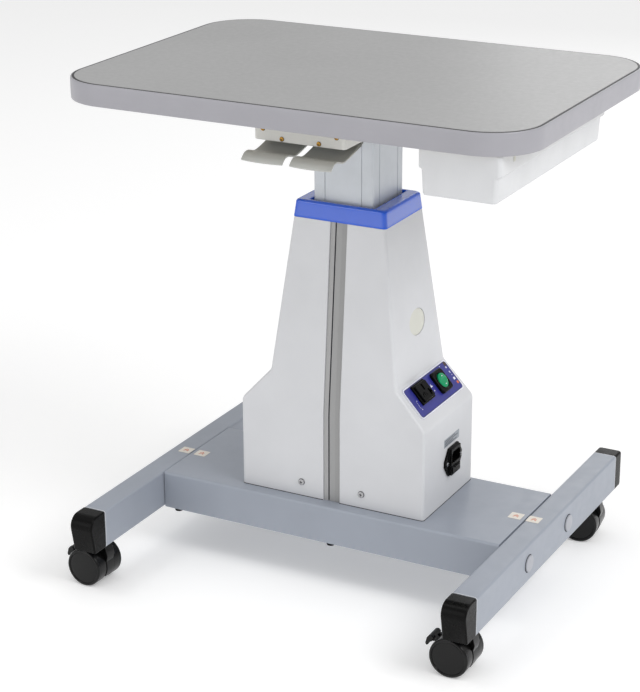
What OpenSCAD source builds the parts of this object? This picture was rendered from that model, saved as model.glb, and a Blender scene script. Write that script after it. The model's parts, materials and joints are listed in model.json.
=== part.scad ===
// Electric lift table: a tabletop on a telescoping column, on an H-shaped base with casters.
// Millimetres. Origin on the floor under the middle of the whole table, +Z up, front at -Y.

/* [Tabletop] */
// Width of the tabletop, left to right
top_w = 609; // [560:1:640]
// Depth of the tabletop, front to back
top_d = 430; // [400:10:450]
// Thickness of the tabletop, laminate included
top_t = 27; // [24:1:30]
// Height of the tabletop's upper face with the lift down
top_z = 652; // [648:1:660]
// Radius of the tabletop's corners, seen from above
top_corner_r = 66; // [50:1:80]
// How far the middle of the tabletop lies behind the origin
top_back = 8; // [0:1:12]
// Tabletop centre right of the column plane
top_mid = -4.5; // [-8:0.5:0]
// Width of the edge band
band_t = 3; // [2:0.5:4]

/* [Base] */
// Distance between the inner faces of the two rails
rail_gap = 478; // [460:2:500]
// Width of a rail's tube
rail_w = 32; // [30:1:34]
// Height of a rail's tube
rail_h = 50; // [50:1:54]
// Length of a rail's tube without its caps
rail_l = 460; // [440:5:470]
// Height of the rails' undersides above the floor
rail_z = 60; // [60:1:62]
// How far the middle of a tube lies behind the origin
rail_back = 1; // [0:1:6]
// Depth of the channel that joins the rails, front to back
channel_d = 172; // [166:1:180]
// How far the middle of the channel lies behind the origin
channel_back = -4; // [-6:1:0]
// Distance from the rails' middle to a rail bolt, along the rail
bolt_y = 65; // [50:1:70]
// Centre of the bolt pair behind the middle
bolt_back = -7; // [-10:1:0]

/* [Column] */
// How far the column's axis lies behind the origin
column_back = 2; // [0:1:4]
// Width of the sliding inner column
inner_w = 82; // [80:1:83]
// Wall of the inner column
inner_wall = 3; // [2.5:0.5:3]
// Width of the fixed outer column
outer_w = 92; // [92:1:94]
// Lift travel
lift_travel = 200; // [100:10:200]
// Diameter of the lead screw
screw_d = 16; // [14:1:18]

/* [Cover] */
// Half the width of the cover's lower box
cover_low_x = 129; // [127:1:132]
// Half the depth of the cover's lower box
cover_low_y = 74; // [73:1:76]
// Height at which the shoulders begin
shoulder_z = 229; // [226:1:232]
// Half the width of the cover where the shoulders end
cover_mid_x = 88.5; // [86:0.5:92]
// Height at which the shoulders end
cover_mid_z = 273.5; // [271:0.5:276]
// Half the width of the cover at its top
cover_top_x = 63; // [62:0.5:65]
// Half the depth of the cover at its top
cover_top_y = 53.5; // [53:0.5:55]
// Height of the cover's top edge
cover_top_z = 474; // [470:1:476]
// Sheet thickness of the cover
sheet = 1.5; // [1:0.5:2]
// Width of the gap between the two cover halves
cover_gap = 23; // [20:1:26]
// Height of the blue collar
collar_h = 21; // [20:1:24]

/* [Drawer] */
// Width of the drawer over its side bands
drawer_w = 100; // [90:1:100]
// Length of the drawer, front to back
drawer_l = 322; // [300:1:340]
// Height of the drawer
drawer_h = 55; // [45:1:60]
// Distance of the drawer's middle from the origin, to the right
drawer_x = 220.5; // [215:1:228]
// Position of the drawer's front face
drawer_front = -193; // [-200:1:-185]

/* [Switch and paddles] */
// Width of the switch housing
housing_w = 119; // [110:1:124]
// Distance of the housing's middle from the origin, to the right
housing_x = 5.5; // [0:0.5:12]
// Position of the housing's front face
housing_front = -162; // [-168:1:-158]
// Width of one paddle
paddle_w = 54; // [48:1:56]

/* [Casters] */
// Diameter of a caster wheel
wheel_d = 50; // [48:1:50]
// Width over both wheels of a caster
caster_w = 50; // [44:1:52]
// Width of a caster's hood, between its two wheels
hood_w = 15; // [12:1:16]
// Distance from a caster's stem to its axle
caster_trail = 17; // [13:1:18]
// Swivel angle of the front left caster
swivel_front_left = -3; // [-180:1:180]
// Swivel angle of the front right caster
swivel_front_right = 0; // [-180:1:180]
// Swivel angle of the rear left caster
swivel_rear_left = 10; // [-180:1:180]
// Swivel angle of the rear right caster
swivel_rear_right = 6; // [-180:1:180]

/* [Hidden] */
$fn = 48;
eps = 0.01;
fit = 0.05;                // radial clearance of a running fit

// Colours
base_paint = [0.62, 0.66, 0.73];
cover_paint = [0.84, 0.85, 0.85];
black_plastic = [0.12, 0.12, 0.12];
steel = [0.72, 0.72, 0.74];
anodised = [0.74, 0.75, 0.77];
white_plastic = [0.9, 0.9, 0.9];
grey_plastic = [0.7, 0.7, 0.69];

// Derived heights and places
base_top = rail_z + rail_h;
rail_x = rail_gap / 2 + rail_w / 2;
rail_front = rail_back - rail_l / 2;
rail_rear = rail_back + rail_l / 2;
tube_wall = 2;
tube_r = 3;
channel_wall = 2.5;
end_plate = 4;
bolt_z = rail_z + rail_h / 2;
bolt_r = 5;
front_cap = 32;            // how far the front cap stands out of the tube
rear_cap = 23;
cap_plug = 8;              // how far a cap reaches into the tube
stem_front = rail_front + 19.5;
stem_rear = rail_rear - 26;
stem_r = 5.5;
foot_t = 6;
foot_top = base_top + foot_t;
outer_wall = 3.5;
outer_in = outer_w / 2 - outer_wall;
column_top = cover_top_z + collar_h - 3;
collar_top = cover_top_z + collar_h + 1;
top_under = top_z - top_t;
bracket_t = 5;
inner_top = top_under - bracket_t;
inner_foot = 215;
pad_h = 30;
glide_h = column_top - 4 - (inner_foot + 2 + pad_h + lift_travel);
inner_in = inner_w / 2 - inner_wall;
motor_h = 62;
bearing_z = foot_top + motor_h + 12;
bolt_at = [bolt_back - bolt_y, bolt_back + bolt_y];
screw_top = 560;
channel_bend = 3.5;
paddle_from = 560;          // heights between which the paddles lie
paddle_to = 620;
shoulder_a = atan((cover_low_x - cover_mid_x) / (cover_mid_z - shoulder_z));
shoulder_len = norm([cover_low_x - cover_mid_x, cover_mid_z - shoulder_z]);
upper_a = atan((cover_mid_x - cover_top_x) / (cover_top_z - cover_mid_z));
cover_screw_x = 42.5;
cover_screw_z = base_top + 19;
laminate_t = 1;
strip_in = 2;              // how far a strip is set in from the cover's face
strip_t = 2.5;
strip_back = strip_in + strip_t - sheet + 0.2;
plug_y = column_back + 5.3;
plug_z = 341;
plug_size = [44, 33.6];

// Control panel on the right shoulder, measured along Y and up the slope
panel_y = 8;
panel_s = 37.6;
panel_size = [121, 41.4];
panel_t = 1.2;
outlet_y = -23;
outlet_s = 41.5;
outlet_size = [33.5, 28];
outlet_hole = [30, 24.5];
rocker_y = 27;
rocker_s = 38.4;
rocker_size = [29, 30.5];
rocker_hole = [25, 27];
rocker_hole_r = 10.8;
rocker_r = 10;
rocker_tilt = 7;
rocker_pivot = 0.5;        // height of the button's pivot above the panel's face

// Mains inlet on the right side
inlet_y = 11.5;
inlet_z = 163.5;
inlet_size = [50, 38];
ear_x = 20;                // the screws in the flange's ears
fuse_size = [23, 9];
fuse_z = -11;

// Drawer and its runners
drawer_top = top_under - 1;
drawer_bottom = drawer_top - drawer_h;
drawer_band_h = 24;
drawer_step = 3.5;
drawer_wall = 2.2;
drawer_rear = drawer_front + drawer_l;
lip_w = 6;
lip_t = 2.5;
runner_t = 1.5;
runner_x = drawer_w / 2 - drawer_wall - lip_w - 0.5;
runner_front = drawer_front + 8;
runner_l = drawer_l - 16;

// Switch housing and paddles
housing_h = 26;
housing_d = 70;
housing_z = top_under - housing_h;
housing_wall = 2;
pin_y = housing_front + 50;
pin_z = housing_z + 3;
pin_r = 2;
tail_y = pin_y + 15;
paddle_gap = 9;
paddle_t = 2.2;

// Casters: stem place and swivel angle of each
casters = [
    [-rail_x, stem_front, swivel_front_left],
    [rail_x, stem_front, swivel_front_right],
    [-rail_x, stem_rear, swivel_rear_left],
    [rail_x, stem_rear, swivel_rear_right]
];
axle_r = 3;
wheel_w = (caster_w - hood_w) / 2 - 0.5;
hood_top = rail_z - 3.5;
hood_from = -35;
hood_to = 128;
lug_w = 5;
stem_h = 30;
lever_pivot = round_axle(20, 140);

// ---- Shapes used more than once ----

// A rectangle with true round corners, centred
module rounded_rect(w, d, r) {
    square([w - 2 * r, d], center = true);
    square([w, d - 2 * r], center = true);
    for (x = [-1, 1], y = [-1, 1])
        translate([x * (w / 2 - r), y * (d / 2 - r)]) circle(r);
}

// A block with rounded vertical edges, standing on z = 0
module rounded_block(w, d, h, r) {
    linear_extrude(h) rounded_rect(w, d, r);
}

// A block between two corners
module block(low, high) {
    translate(low) cube(high - low);
}

// Turns an outline in Y and Z into a solid that runs along X
module along_x(x0, x1) {
    translate([x0, 0, 0]) rotate([90, 0, 90]) linear_extrude(x1 - x0) children();
}

// Turns an outline in X and Z into a solid that runs along Y
module along_y(y0, y1) {
    translate([0, y1, 0]) rotate([90, 0, 0]) linear_extrude(y1 - y0) children();
}

// A cylinder along X from x0 to x1
module rod_x(r, x0, x1) {
    translate([x0, 0, 0]) rotate([0, 90, 0]) cylinder(r = r, h = x1 - x0);
}

// A cylinder along Y from y0 to y1
module rod_y(r, y0, y1) {
    translate([0, y0, 0]) rotate([-90, 0, 0]) cylinder(r = r, h = y1 - y0);
}

// Children's X runs along the table's Y, their Y up the right side's slope, their Z outwards
module on_slope(x, y, z, angle) {
    translate([x, y, z]) rotate([0, -angle, 0]) rotate([90, 0, 90]) children();
}

// The shoulder's own frame, its zero on the shoulder's lower edge
module on_shoulder(y, s, out = 0) {
    on_slope(cover_low_x, y, shoulder_z, shoulder_a) translate([0, s, out]) children();
}

// The frame of the cover's upper right side at a height z
module on_upper_side(y, z) {
    x = cover_mid_x - (z - cover_mid_z) * tan(upper_a);
    on_slope(x, y, z, upper_a) children();
}

// What is drawn for the right side, and its mirror image on the left
module both_sides() {
    children();
    mirror([1, 0, 0]) children();
}

// ---- Base ----

module channel_outline(inset) {
    w = channel_d - 2 * inset;
    r = channel_bend - inset;
    translate([channel_back, 0]) {
        translate([-w / 2, rail_z - inset]) square([w, rail_h - r]);
        translate([-w / 2 + r, rail_z]) square([w - 2 * r, rail_h - inset]);
        for (side = [-1, 1])
            translate([side * (w / 2 - r), base_top - inset - r]) circle(r);
    }
}

module base_channel() {
    half = rail_gap / 2;
    color(base_paint) difference() {
        union() {
            difference() {
                along_x(-half, half) channel_outline(0);
                along_x(-half - 1, half + 1) channel_outline(channel_wall);
            }
            both_sides() along_x(half - end_plate, half) intersection() {
                channel_outline(channel_wall - eps);
                translate([-channel_d, rail_z]) square([2 * channel_d, rail_h]);
            }
        }
        for (y = bolt_at)
            translate([0, y, bolt_z]) rod_x(bolt_r + fit, -half - 1, half + 1);
        for (x = [-62, 62], y = [-56, 56])
            translate([x, column_back + y, base_top - 10]) cylinder(r = 4 + fit, h = 20);
    }
}

module rail(side) {
    inner = side * rail_gap / 2;
    outer = side * (rail_gap / 2 + rail_w);
    color(base_paint) difference() {
        translate([side * rail_x, 0, 0]) along_y(rail_front, rail_rear) translate([0, bolt_z])
            difference() {
                rounded_rect(rail_w, rail_h, tube_r);
                rounded_rect(rail_w - 2 * tube_wall, rail_h - 2 * tube_wall, tube_r - tube_wall + 0.5);
            }
        for (y = bolt_at) translate([0, y, bolt_z]) {
            rod_x(bolt_r + fit, min(inner, inner + side * 5), max(inner, inner + side * 5));
            rod_x(bolt_r + fit, inner - 4, inner + 4);
            rod_x(10, outer - 4, outer + 4);
        }
        for (y = [stem_front, stem_rear])
            translate([side * rail_x, y, rail_z - 1]) cylinder(r = 8, h = 5);
    }
}

module left_rail() { rail(-1); }
module right_rail() { rail(1); }

// Outline of the part of a cap that fills the tube
module cap_plug_outline() {
    inset = 2 * tube_wall + 0.1;
    translate([0, bolt_z]) rounded_rect(rail_w - inset, rail_h - inset, 1);
}

// Outline of a front cap, seen from the side: a sloping front with a round upper edge
module front_cap_outline() {
    r = 15;
    low = front_cap - 6.5;
    translate([rail_front, rail_z]) difference() {
        union() {
            polygon([[0, 0], [-low, 0], [-front_cap, rail_h - r], [0, rail_h - r]]);
            translate([-front_cap + r, rail_h - r]) circle(r);
            translate([-front_cap + r, rail_h - r - eps]) square([front_cap - r, r + eps]);
        }
        translate([0, -1]) square([30, rail_h + 2]);
    }
}

module rail_front_caps() {
    color(black_plastic) for (side = [-1, 1]) translate([side * rail_x, 0, 0]) {
        along_x(-rail_w / 2, rail_w / 2) front_cap_outline();
        along_y(rail_front - eps, rail_front + cap_plug) cap_plug_outline();
    }
}

module rail_rear_caps() {
    color(black_plastic) for (side = [-1, 1]) translate([side * rail_x, 0, 0]) {
        along_y(rail_rear, rail_rear + rear_cap - 3) translate([0, bolt_z])
            rounded_rect(rail_w, rail_h, tube_r);
        along_y(rail_rear, rail_rear + rear_cap) translate([0, bolt_z])
            rounded_rect(rail_w - 4, rail_h - 4, tube_r);
        along_y(rail_rear - cap_plug, rail_rear + eps) cap_plug_outline();
    }
}

module rail_bolt_plugs() {
    outer = rail_gap / 2 + rail_w;
    color(base_paint) both_sides() for (y = bolt_at) translate([0, y, bolt_z]) {
        rod_x(11, outer, outer + 1.4);
        rod_x(9.9, outer - 6, outer + eps);
    }
}

module rail_bolts() {
    inner = rail_gap / 2;
    color(steel) both_sides() for (y = bolt_at) translate([0, y, bolt_z]) {
        rod_x(bolt_r, inner - 16, inner + tube_wall + eps);
        rod_x(8.5, inner + tube_wall, inner + tube_wall + 6);
        translate([inner - end_plate - 8, 0, 0]) rotate([0, 90, 0]) cylinder(r = 9, h = 8, $fn = 6);
    }
}

// Threaded sockets in the rails' undersides, which hold the caster stems
module caster_sockets() {
    color(steel) for (c = casters) translate([c[0], c[1], rail_z]) difference() {
        union() {
            translate([0, 0, tube_wall]) cylinder(r = 10, h = 26);
            cylinder(r = 8, h = tube_wall + eps);
        }
        translate([0, 0, -1]) cylinder(r = stem_r + fit, h = 30);
    }
}

module channel_feet() {
    front = channel_back - channel_d / 2;
    color(black_plastic) for (x = [-222, 4, 222]) translate([x, front + 9, rail_z]) {
        translate([0, 0, -4]) cylinder(r = 5, h = 4);
        cylinder(r = 6.5, h = 3);
        translate([-8, -channel_wall - 4, 0]) cube([16, 3, 12]);
    }
}

module seam_labels() {
    label = 17;
    color([0.93, 0.9, 0.85]) for (side = [-1, 1], dx = [-14, 10])
        translate([side * (rail_gap / 2 + dx) - label / 2, (side > 0 ? -3 : -15) - label / 2, base_top])
            cube([label, label, 0.3]);
}

// ---- Column, screw and motor ----

module column_foot() {
    front = column_back - cover_low_y + sheet;
    rear = column_back + cover_low_y - sheet;
    color(steel) difference() {
        union() {
            block([-75, front, base_top], [75, rear, foot_top]);
            for (x = [-cover_screw_x, cover_screw_x]) {
                block([x - 12, front, base_top], [x + 12, front + 3, foot_top + 26]);
                block([x - 12, rear - 3, base_top], [x + 12, rear, foot_top + 26]);
            }
        }
        for (x = [-62, 62], y = [-56, 56])
            translate([x, column_back + y, base_top - 1]) cylinder(r = 4 + fit, h = foot_t + 2);
        for (x = [-cover_screw_x, cover_screw_x])
            translate([x, 0, cover_screw_z]) rod_y(2 + fit, front - 5, rear + 5);
        for (y = [front, rear])
            block(
                [-cover_gap / 2 - fit, y - strip_back, base_top - 1],
                [cover_gap / 2 + fit, y + strip_back, foot_top + 1]
            );
    }
}

module foot_bolts() {
    color(steel) for (x = [-62, 62], y = [-56, 56]) translate([x, column_back + y, 0]) {
        translate([0, 0, base_top - 14]) cylinder(r = 4, h = foot_t + 14 + eps);
        translate([0, 0, foot_top]) cylinder(r = 6.5, h = 5, $fn = 6);
        translate([0, 0, base_top - channel_wall - 6.5]) cylinder(r = 7, h = 6.5, $fn = 6);
    }
}

module outer_column() {
    color(anodised) translate([0, column_back, foot_top]) difference() {
        rounded_block(outer_w, outer_w, column_top - foot_top, 4);
        translate([0, 0, -1]) rounded_block(2 * outer_in, 2 * outer_in, 400, 1.5);
    }
}

// Four slide strips at the top of the outer column, which guide the inner column
module column_glides() {
    t = outer_in - inner_w / 2 - 0.2;
    color(white_plastic) translate([0, column_back, column_top - glide_h - 2])
        for (a = [0, 90, 180, 270]) rotate([0, 0, a])
            translate([outer_in - t, -25, 0]) cube([t, 50, glide_h]);
}

module gear_motor() {
    gearbox_w = 66;
    gearbox_h = 22;
    color([0.35, 0.36, 0.38]) translate([0, column_back, foot_top]) {
        cylinder(r = 31, h = motor_h - gearbox_h + eps);
        translate([0, 0, motor_h - gearbox_h]) rounded_block(gearbox_w, gearbox_w, gearbox_h, 4);
    }
}

module screw_bearing() {
    color(steel) translate([0, column_back, bearing_z]) difference() {
        union() {
            cylinder(r = 22, h = 16);
            translate([0, 0, 10]) rounded_block(2 * outer_in - 0.1, 2 * outer_in - 0.1, 6, 2);
        }
        translate([0, 0, -1]) cylinder(r = screw_d / 2 + fit, h = 20);
    }
}

module lead_screw() {
    foot = foot_top + motor_h + 0.5;
    color(steel) translate([0, column_back, foot]) {
        cylinder(r = screw_d / 2, h = screw_top - foot);
        cylinder(r = 13, h = 10);
    }
}

module inner_column() {
    h = inner_top - inner_foot;
    color(anodised) translate([0, column_back, inner_foot]) difference() {
        rounded_block(inner_w, inner_w, h, 3);
        translate([0, 0, -1]) rounded_block(2 * inner_in, 2 * inner_in, h + 2, 1);
        for (a = [0, 90, 180, 270], x = [-25, 25]) rotate([0, 0, a])
            translate([inner_w / 2 - 0.8, x - 0.7, -1]) cube([2, 1.4, h + 2]);
    }
}

module drive_nut() {
    color([0.78, 0.62, 0.3]) translate([0, column_back, inner_foot]) difference() {
        union() {
            rounded_block(2 * inner_in - 0.1, 2 * inner_in - 0.1, 8, 1);
            cylinder(r = 18, h = 36);
        }
        translate([0, 0, -1]) cylinder(r = screw_d / 2 + fit, h = 40);
    }
}

// Slide pads on the inner column's foot, which run inside the outer column
module guide_pads() {
    t = outer_in - inner_w / 2 - 0.2;
    color(white_plastic) translate([0, column_back, inner_foot + 2])
        for (a = [0, 90, 180, 270]) rotate([0, 0, a])
            translate([inner_w / 2, -22, 0]) cube([t, 44, pad_h]);
}

module top_bracket() {
    color(steel) translate([0, column_back, inner_top]) difference() {
        union() {
            rounded_block(220, 180, bracket_t, 8);
            translate([0, 0, -22]) rounded_block(2 * inner_in - 0.1, 2 * inner_in - 0.1, 22 + eps, 1);
        }
        translate([0, 0, -30]) rounded_block(2 * inner_in - 8, 2 * inner_in - 8, 30, 1);
        for (x = [-96, 96], y = [-76, 76]) translate([x, y, -1]) cylinder(r = 3 + fit, h = 10);
    }
}

module bracket_screws() {
    color(steel) for (x = [-96, 96], y = [-76, 76]) translate([x, column_back + y, inner_top]) {
        translate([0, 0, -3.2]) cylinder(r = 6, h = 3.2);
        cylinder(r = 3, h = 20);
    }
}

module control_box() {
    color([0.3, 0.32, 0.34]) translate([-122, column_back - 45, base_top]) difference() {
        cube([44, 90, 88]);
        for (i = [0:5]) translate([-1, 12 + 12 * i, 20]) cube([3, 4, 50]);
    }
}

// ---- Cover, collar and strips ----

// Outline of one cover half from the front, with its faces set in by t
function cover_front_outline(t, x0) = [
    [x0, base_top], [cover_low_x - t, base_top],
    [cover_low_x - t, shoulder_z - t * tan(shoulder_a / 2)],
    [cover_mid_x - t, cover_mid_z - t * tan(shoulder_a / 2)],
    [cover_top_x - t, cover_top_z], [x0, cover_top_z]
];

// Outline of the cover from the side, with its faces set in by t
function cover_side_outline(t) = [
    [column_back - cover_low_y + t, base_top], [column_back + cover_low_y - t, base_top],
    [column_back + cover_low_y - t, shoulder_z],
    [column_back + cover_top_y - t, cover_top_z],
    [column_back - cover_top_y + t, cover_top_z],
    [column_back - cover_low_y + t, shoulder_z]
];

// The space under one cover half, with its faces set in by t; its middle edge lies at x0
module cover_solid(t, x0) {
    intersection() {
        along_y(-120, 120) polygon(cover_front_outline(t, x0));
        along_x(0, 200) polygon(cover_side_outline(t));
    }
}

// One half: a folded sheet, open at its foot, its top and towards the other half
module cover_half() {
    difference() {
        cover_solid(0, cover_gap / 2);
        cover_solid(sheet, cover_gap / 2 - 1);
        for (z = [-eps, eps]) translate([0, 0, z]) cover_solid(sheet, cover_gap / 2 - 1);
        for (y = [0, 1]) translate([cover_screw_x, column_back, cover_screw_z]) mirror([0, y, 0])
            rod_y(2 + fit, 0, 90);
    }
}

module left_cover() {
    color(cover_paint) mirror([1, 0, 0]) cover_half();
}

module right_cover() {
    color(cover_paint) difference() {
        cover_half();
        on_shoulder(outlet_y, outlet_s, -10) rounded_block(outlet_hole[0], outlet_hole[1], 20, 2);
        on_shoulder(rocker_y, rocker_s, -10) rounded_block(rocker_hole[0], rocker_hole[1], 20, 2);
        on_upper_side(plug_y, plug_z) translate([0, 0, -10])
            rounded_block(plug_size[0] + 0.2, plug_size[1] + 0.2, 20, plug_size[1] / 2);
        inlet_frame() translate([0, 0, -10]) rounded_block(28, 34, 20, 2);
        inlet_frame() for (side = [-1, 1]) translate([side * ear_x, 0, -10]) cylinder(r = 1.6 + fit, h = 20);
    }
}

// Outline of a strip from the side: it follows the cover's front face, set in by t0 and t1
function strip_outline(t0, t1) = [
    [-cover_low_y + t0, base_top], [-cover_low_y + t1, base_top],
    [-cover_low_y + t1, shoulder_z], [-cover_top_y + t1, cover_top_z],
    [-cover_top_y + t0, cover_top_z], [-cover_low_y + t0, shoulder_z]
];

module strip(groove) {
    half = cover_gap / 2;
    color([0.62, 0.63, 0.64]) difference() {
        along_x(-half, half) polygon(strip_outline(strip_in, strip_in + strip_t));
        if (groove) along_x(-4.4, -3) polygon(strip_outline(strip_in - 1, strip_in + strip_t / 2));
    }
}

module front_strip() {
    translate([0, column_back, 0]) strip(true);
}

module rear_strip() {
    translate([0, column_back, 0]) mirror([0, 1, 0]) strip(false);
}

// A four-sided tapering block, set in by t
module collar_block(t, z0, z1) {
    flare = 2.5;
    x = cover_top_x - 1.5 - t;
    y = cover_top_y - 2.5 - t;
    intersection() {
        along_y(-90, 90) polygon([[-x - flare, z0], [x + flare, z0], [x, z1], [-x, z1]]);
        along_x(-90, 90) polygon([[-y - flare, z0], [y + flare, z0], [y, z1], [-y, z1]]);
    }
}

module collar() {
    hole = inner_w + 7;
    color([0.1, 0.25, 0.8]) translate([0, column_back, 0]) difference() {
        collar_block(0, cover_top_z, collar_top);
        collar_block(2, cover_top_z - eps, column_top);
        translate([0, 0, cover_top_z]) rounded_block(hole, hole, collar_h + 10, 3);
    }
}

module cover_screws() {
    color(steel) for (side = [-1, 1], x = [-cover_screw_x, cover_screw_x])
        translate([x, column_back, cover_screw_z]) mirror([0, side < 0 ? 1 : 0, 0]) {
            rod_y(2, cover_low_y - 8, cover_low_y + eps);
            rod_y(4, cover_low_y, cover_low_y + 1.6);
        }
}

module side_plug() {
    w = plug_size[0];
    h = plug_size[1];
    color([0.9, 0.9, 0.85]) on_upper_side(plug_y, plug_z) {
        translate([0, 0, -5]) rounded_block(w + 3, h + 3, 3.3, (h + 3) / 2 - eps);
        translate([0, 0, -5]) rounded_block(w, h, 4.3, h / 2 - eps);
    }
}

// ---- Control panel ----

module control_panel() {
    color([0.24, 0.24, 0.6]) difference() {
        on_shoulder(panel_y, panel_s) rounded_block(panel_size[0], panel_size[1], panel_t, 4);
        on_shoulder(outlet_y, outlet_s, -1) rounded_block(outlet_hole[0], outlet_hole[1], 4, 2);
        on_shoulder(rocker_y, rocker_s, -1) rounded_block(rocker_hole[0], rocker_hole[1], 4, 2);
    }
}

module outlet_socket() {
    color(black_plastic) on_shoulder(outlet_y, outlet_s, panel_t) difference() {
        union() {
            rounded_block(outlet_size[0], outlet_size[1], 3.2, 2);
            rounded_block(outlet_size[0] - 5, outlet_size[1] - 4.5, 6.2, 2);
            translate([0, 0, -22]) rounded_block(outlet_hole[0] - 0.2, outlet_hole[1] - 0.2, 22 + eps, 2);
        }
        for (slot = [[0, 5.4], [-7.8, -4.4], [7.8, -4.4]]) translate([slot[0] - 1.5, slot[1] - 4, -12])
            cube([3, 8, 20]);
    }
}

module rocker_frame() {
    color(black_plastic) on_shoulder(rocker_y, rocker_s, panel_t) difference() {
        union() {
            rounded_block(rocker_size[0], rocker_size[1], 4.6, 4);
            translate([0, 0, -20]) rounded_block(rocker_hole[0] - 0.2, rocker_hole[1] - 0.2, 20 + eps, 2);
        }
        translate([0, 0, -6]) cylinder(r = rocker_hole_r, h = 20);
        translate([0, 0, rocker_pivot]) rod_x(1.2 + fit, -12.3, 12.3);
    }
}

module rocker_button() {
    color([0.1, 0.62, 0.45]) on_shoulder(rocker_y, rocker_s, panel_t + rocker_pivot)
        rotate([rocker_tilt, 0, 0]) {
            intersection() {
                translate([0, 0, -3]) cylinder(r = rocker_r, h = 12);
                translate([0, 0, -23.5]) sphere(r = 31, $fn = 64);
            }
            rod_x(1.2, -12.2, 12.2);
        }
}

// ---- Mains inlet ----

module inlet_frame() {
    on_slope(cover_low_x, inlet_y, inlet_z, 0) children();
}

module inlet_flange_outline() {
    w = inlet_size[0] / 2;
    h = inlet_size[1] / 2;
    polygon([
        [-w, -4], [-14, -h], [14, -h], [w, -4], [w, 4], [14, h], [-14, h], [-w, 4]
    ]);
}

module mains_inlet() {
    pin_pitch = 7;
    color(black_plastic) inlet_frame() {
        difference() {
            union() {
                linear_extrude(3) inlet_flange_outline();
                rounded_block(27.8, inlet_size[1] - 2, 6, 2);
                translate([0, 0, -24]) rounded_block(27.8, 33.8, 24 + eps, 2);
            }
            translate([0, 6, -12]) linear_extrude(20) polygon([
                [-12.6, -7.5], [12.6, -7.5], [12.6, 4], [8.6, 8], [-8.6, 8], [-12.6, 4]
            ]);
            translate([-fuse_size[0] / 2 - fit, fuse_z - fuse_size[1] / 2 - fit, -20])
                cube([fuse_size[0] + 2 * fit, fuse_size[1] + 2 * fit, 40]);
            for (side = [-1, 1]) translate([side * ear_x, 0, -1]) cylinder(r = 1.6 + fit / 2, h = 6);
        }
        for (x = [-pin_pitch, 0, pin_pitch]) translate([x - 1, x == 0 ? 5 : 1, -12 - eps])
            cube([2, 4, 9]);
        for (side = [-1, 1]) translate([side * ear_x, 0, -6]) {
            cylinder(r = 1.6, h = 9);
            translate([0, 0, 9 - eps]) cylinder(r = 3, h = 1.4);
        }
    }
}

module fuse_drawer() {
    color([0.16, 0.16, 0.16]) inlet_frame() translate([0, fuse_z, 0]) {
        difference() {
            translate([-fuse_size[0] / 2, -fuse_size[1] / 2, -19])
                cube([fuse_size[0], fuse_size[1], 26]);
            translate([-8, -2.6, -15]) cube([16, 5.2, 17]);
        }
        translate([-6, fuse_size[1] / 2 - 2, 7 - eps]) cube([12, 1.6, 1.2]);
    }
}

module rating_label() {
    color([0.62, 0.66, 0.68]) on_slope(cover_low_x, 9.5, 191.5, 0) translate([-22.5, -5.6, 0])
        cube([45, 11.2, 0.3]);
}

// ---- Tabletop ----

module top_outline(inset) {
    rounded_rect(top_w - 2 * inset, top_d - 2 * inset, top_corner_r - inset);
}

module table_board() {
    color([0.72, 0.6, 0.45]) difference() {
        translate([top_mid, top_back, top_under]) linear_extrude(top_t - laminate_t) top_outline(band_t);
        for (x = [-96, 96], y = [-76, 76])
            translate([x, column_back + y, top_under - 1]) cylinder(r = 3 + fit, h = 17);
        for (x = [-runner_x + 5, runner_x - 5], y = runner_screw_y)
            translate([drawer_x + x, y, top_under - 1]) cylinder(r = 2 + fit, h = 13);
        for (x = [-40, 40], y = [18, 52])
            translate([housing_x + x, housing_front + y, top_under - 1]) cylinder(r = 2 + fit, h = 13);
    }
}

module laminate_top() {
    color([0.7, 0.7, 0.69]) translate([top_mid, top_back, top_z - laminate_t])
        linear_extrude(laminate_t) top_outline(band_t + 0.4);
}

module edge_band() {
    color([0.66, 0.66, 0.69]) translate([top_mid, top_back, top_under]) linear_extrude(top_t - 0.3)
        difference() {
            top_outline(0);
            top_outline(band_t);
        }
}

// ---- Drawer and runners ----

runner_screw_y = [runner_front + 25, runner_front + runner_l / 2, runner_front + runner_l - 25];

// One runner for the right side of the drawer: top flange, web, and the flange under the lip
module runner_outline() {
    translate([runner_x - 12, top_under - runner_t]) square([12, runner_t]);
    translate([runner_x - runner_t, top_under - 5.3]) square([runner_t, 5.3]);
    translate([runner_x - runner_t, top_under - 5.3]) square([lip_w - 1 + runner_t, runner_t]);
}

module drawer_runners() {
    color(steel) translate([drawer_x, 0, 0]) both_sides() {
        along_y(runner_front, runner_front + runner_l) runner_outline();
        for (y = runner_screw_y) translate([runner_x - 5, y, top_under - runner_t - 1.5]) {
            cylinder(r = 3.5, h = 1.5 + eps);
            cylinder(r = 2, h = 12);
        }
    }
}

module drawer() {
    body_w = drawer_w - 2 * drawer_step;
    band_z = drawer_top - drawer_band_h;
    rear = drawer_rear - drawer_step;
    in_w = body_w / 2 - drawer_wall;
    band_in = drawer_w / 2 - drawer_wall;
    color(white_plastic) translate([drawer_x, 0, 0]) difference() {
        union() {
            translate([0, (drawer_front + rear) / 2, drawer_bottom])
                rounded_block(body_w, rear - drawer_front, drawer_h, 5);
            translate([0, (drawer_front + drawer_rear) / 2, band_z])
                rounded_block(drawer_w, drawer_l, drawer_band_h, 5);
        }
        translate([0, (drawer_front + rear) / 2, drawer_bottom + drawer_wall])
            rounded_block(2 * in_w, rear - drawer_front - 2 * drawer_wall, drawer_h, 3);
        translate([0, (drawer_front + drawer_rear) / 2, band_z + drawer_wall])
            rounded_block(2 * band_in, drawer_l - 2 * drawer_wall, drawer_band_h - drawer_wall - lip_t, 3);
        block([-band_in + lip_w, drawer_front + drawer_wall, band_z + 10],
              [band_in - lip_w, drawer_rear - drawer_wall, drawer_top + 1]);
        block([-band_in, drawer_rear - 20, top_under - 9], [band_in, drawer_rear + 10, drawer_top + 1]);
    }
}

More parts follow.
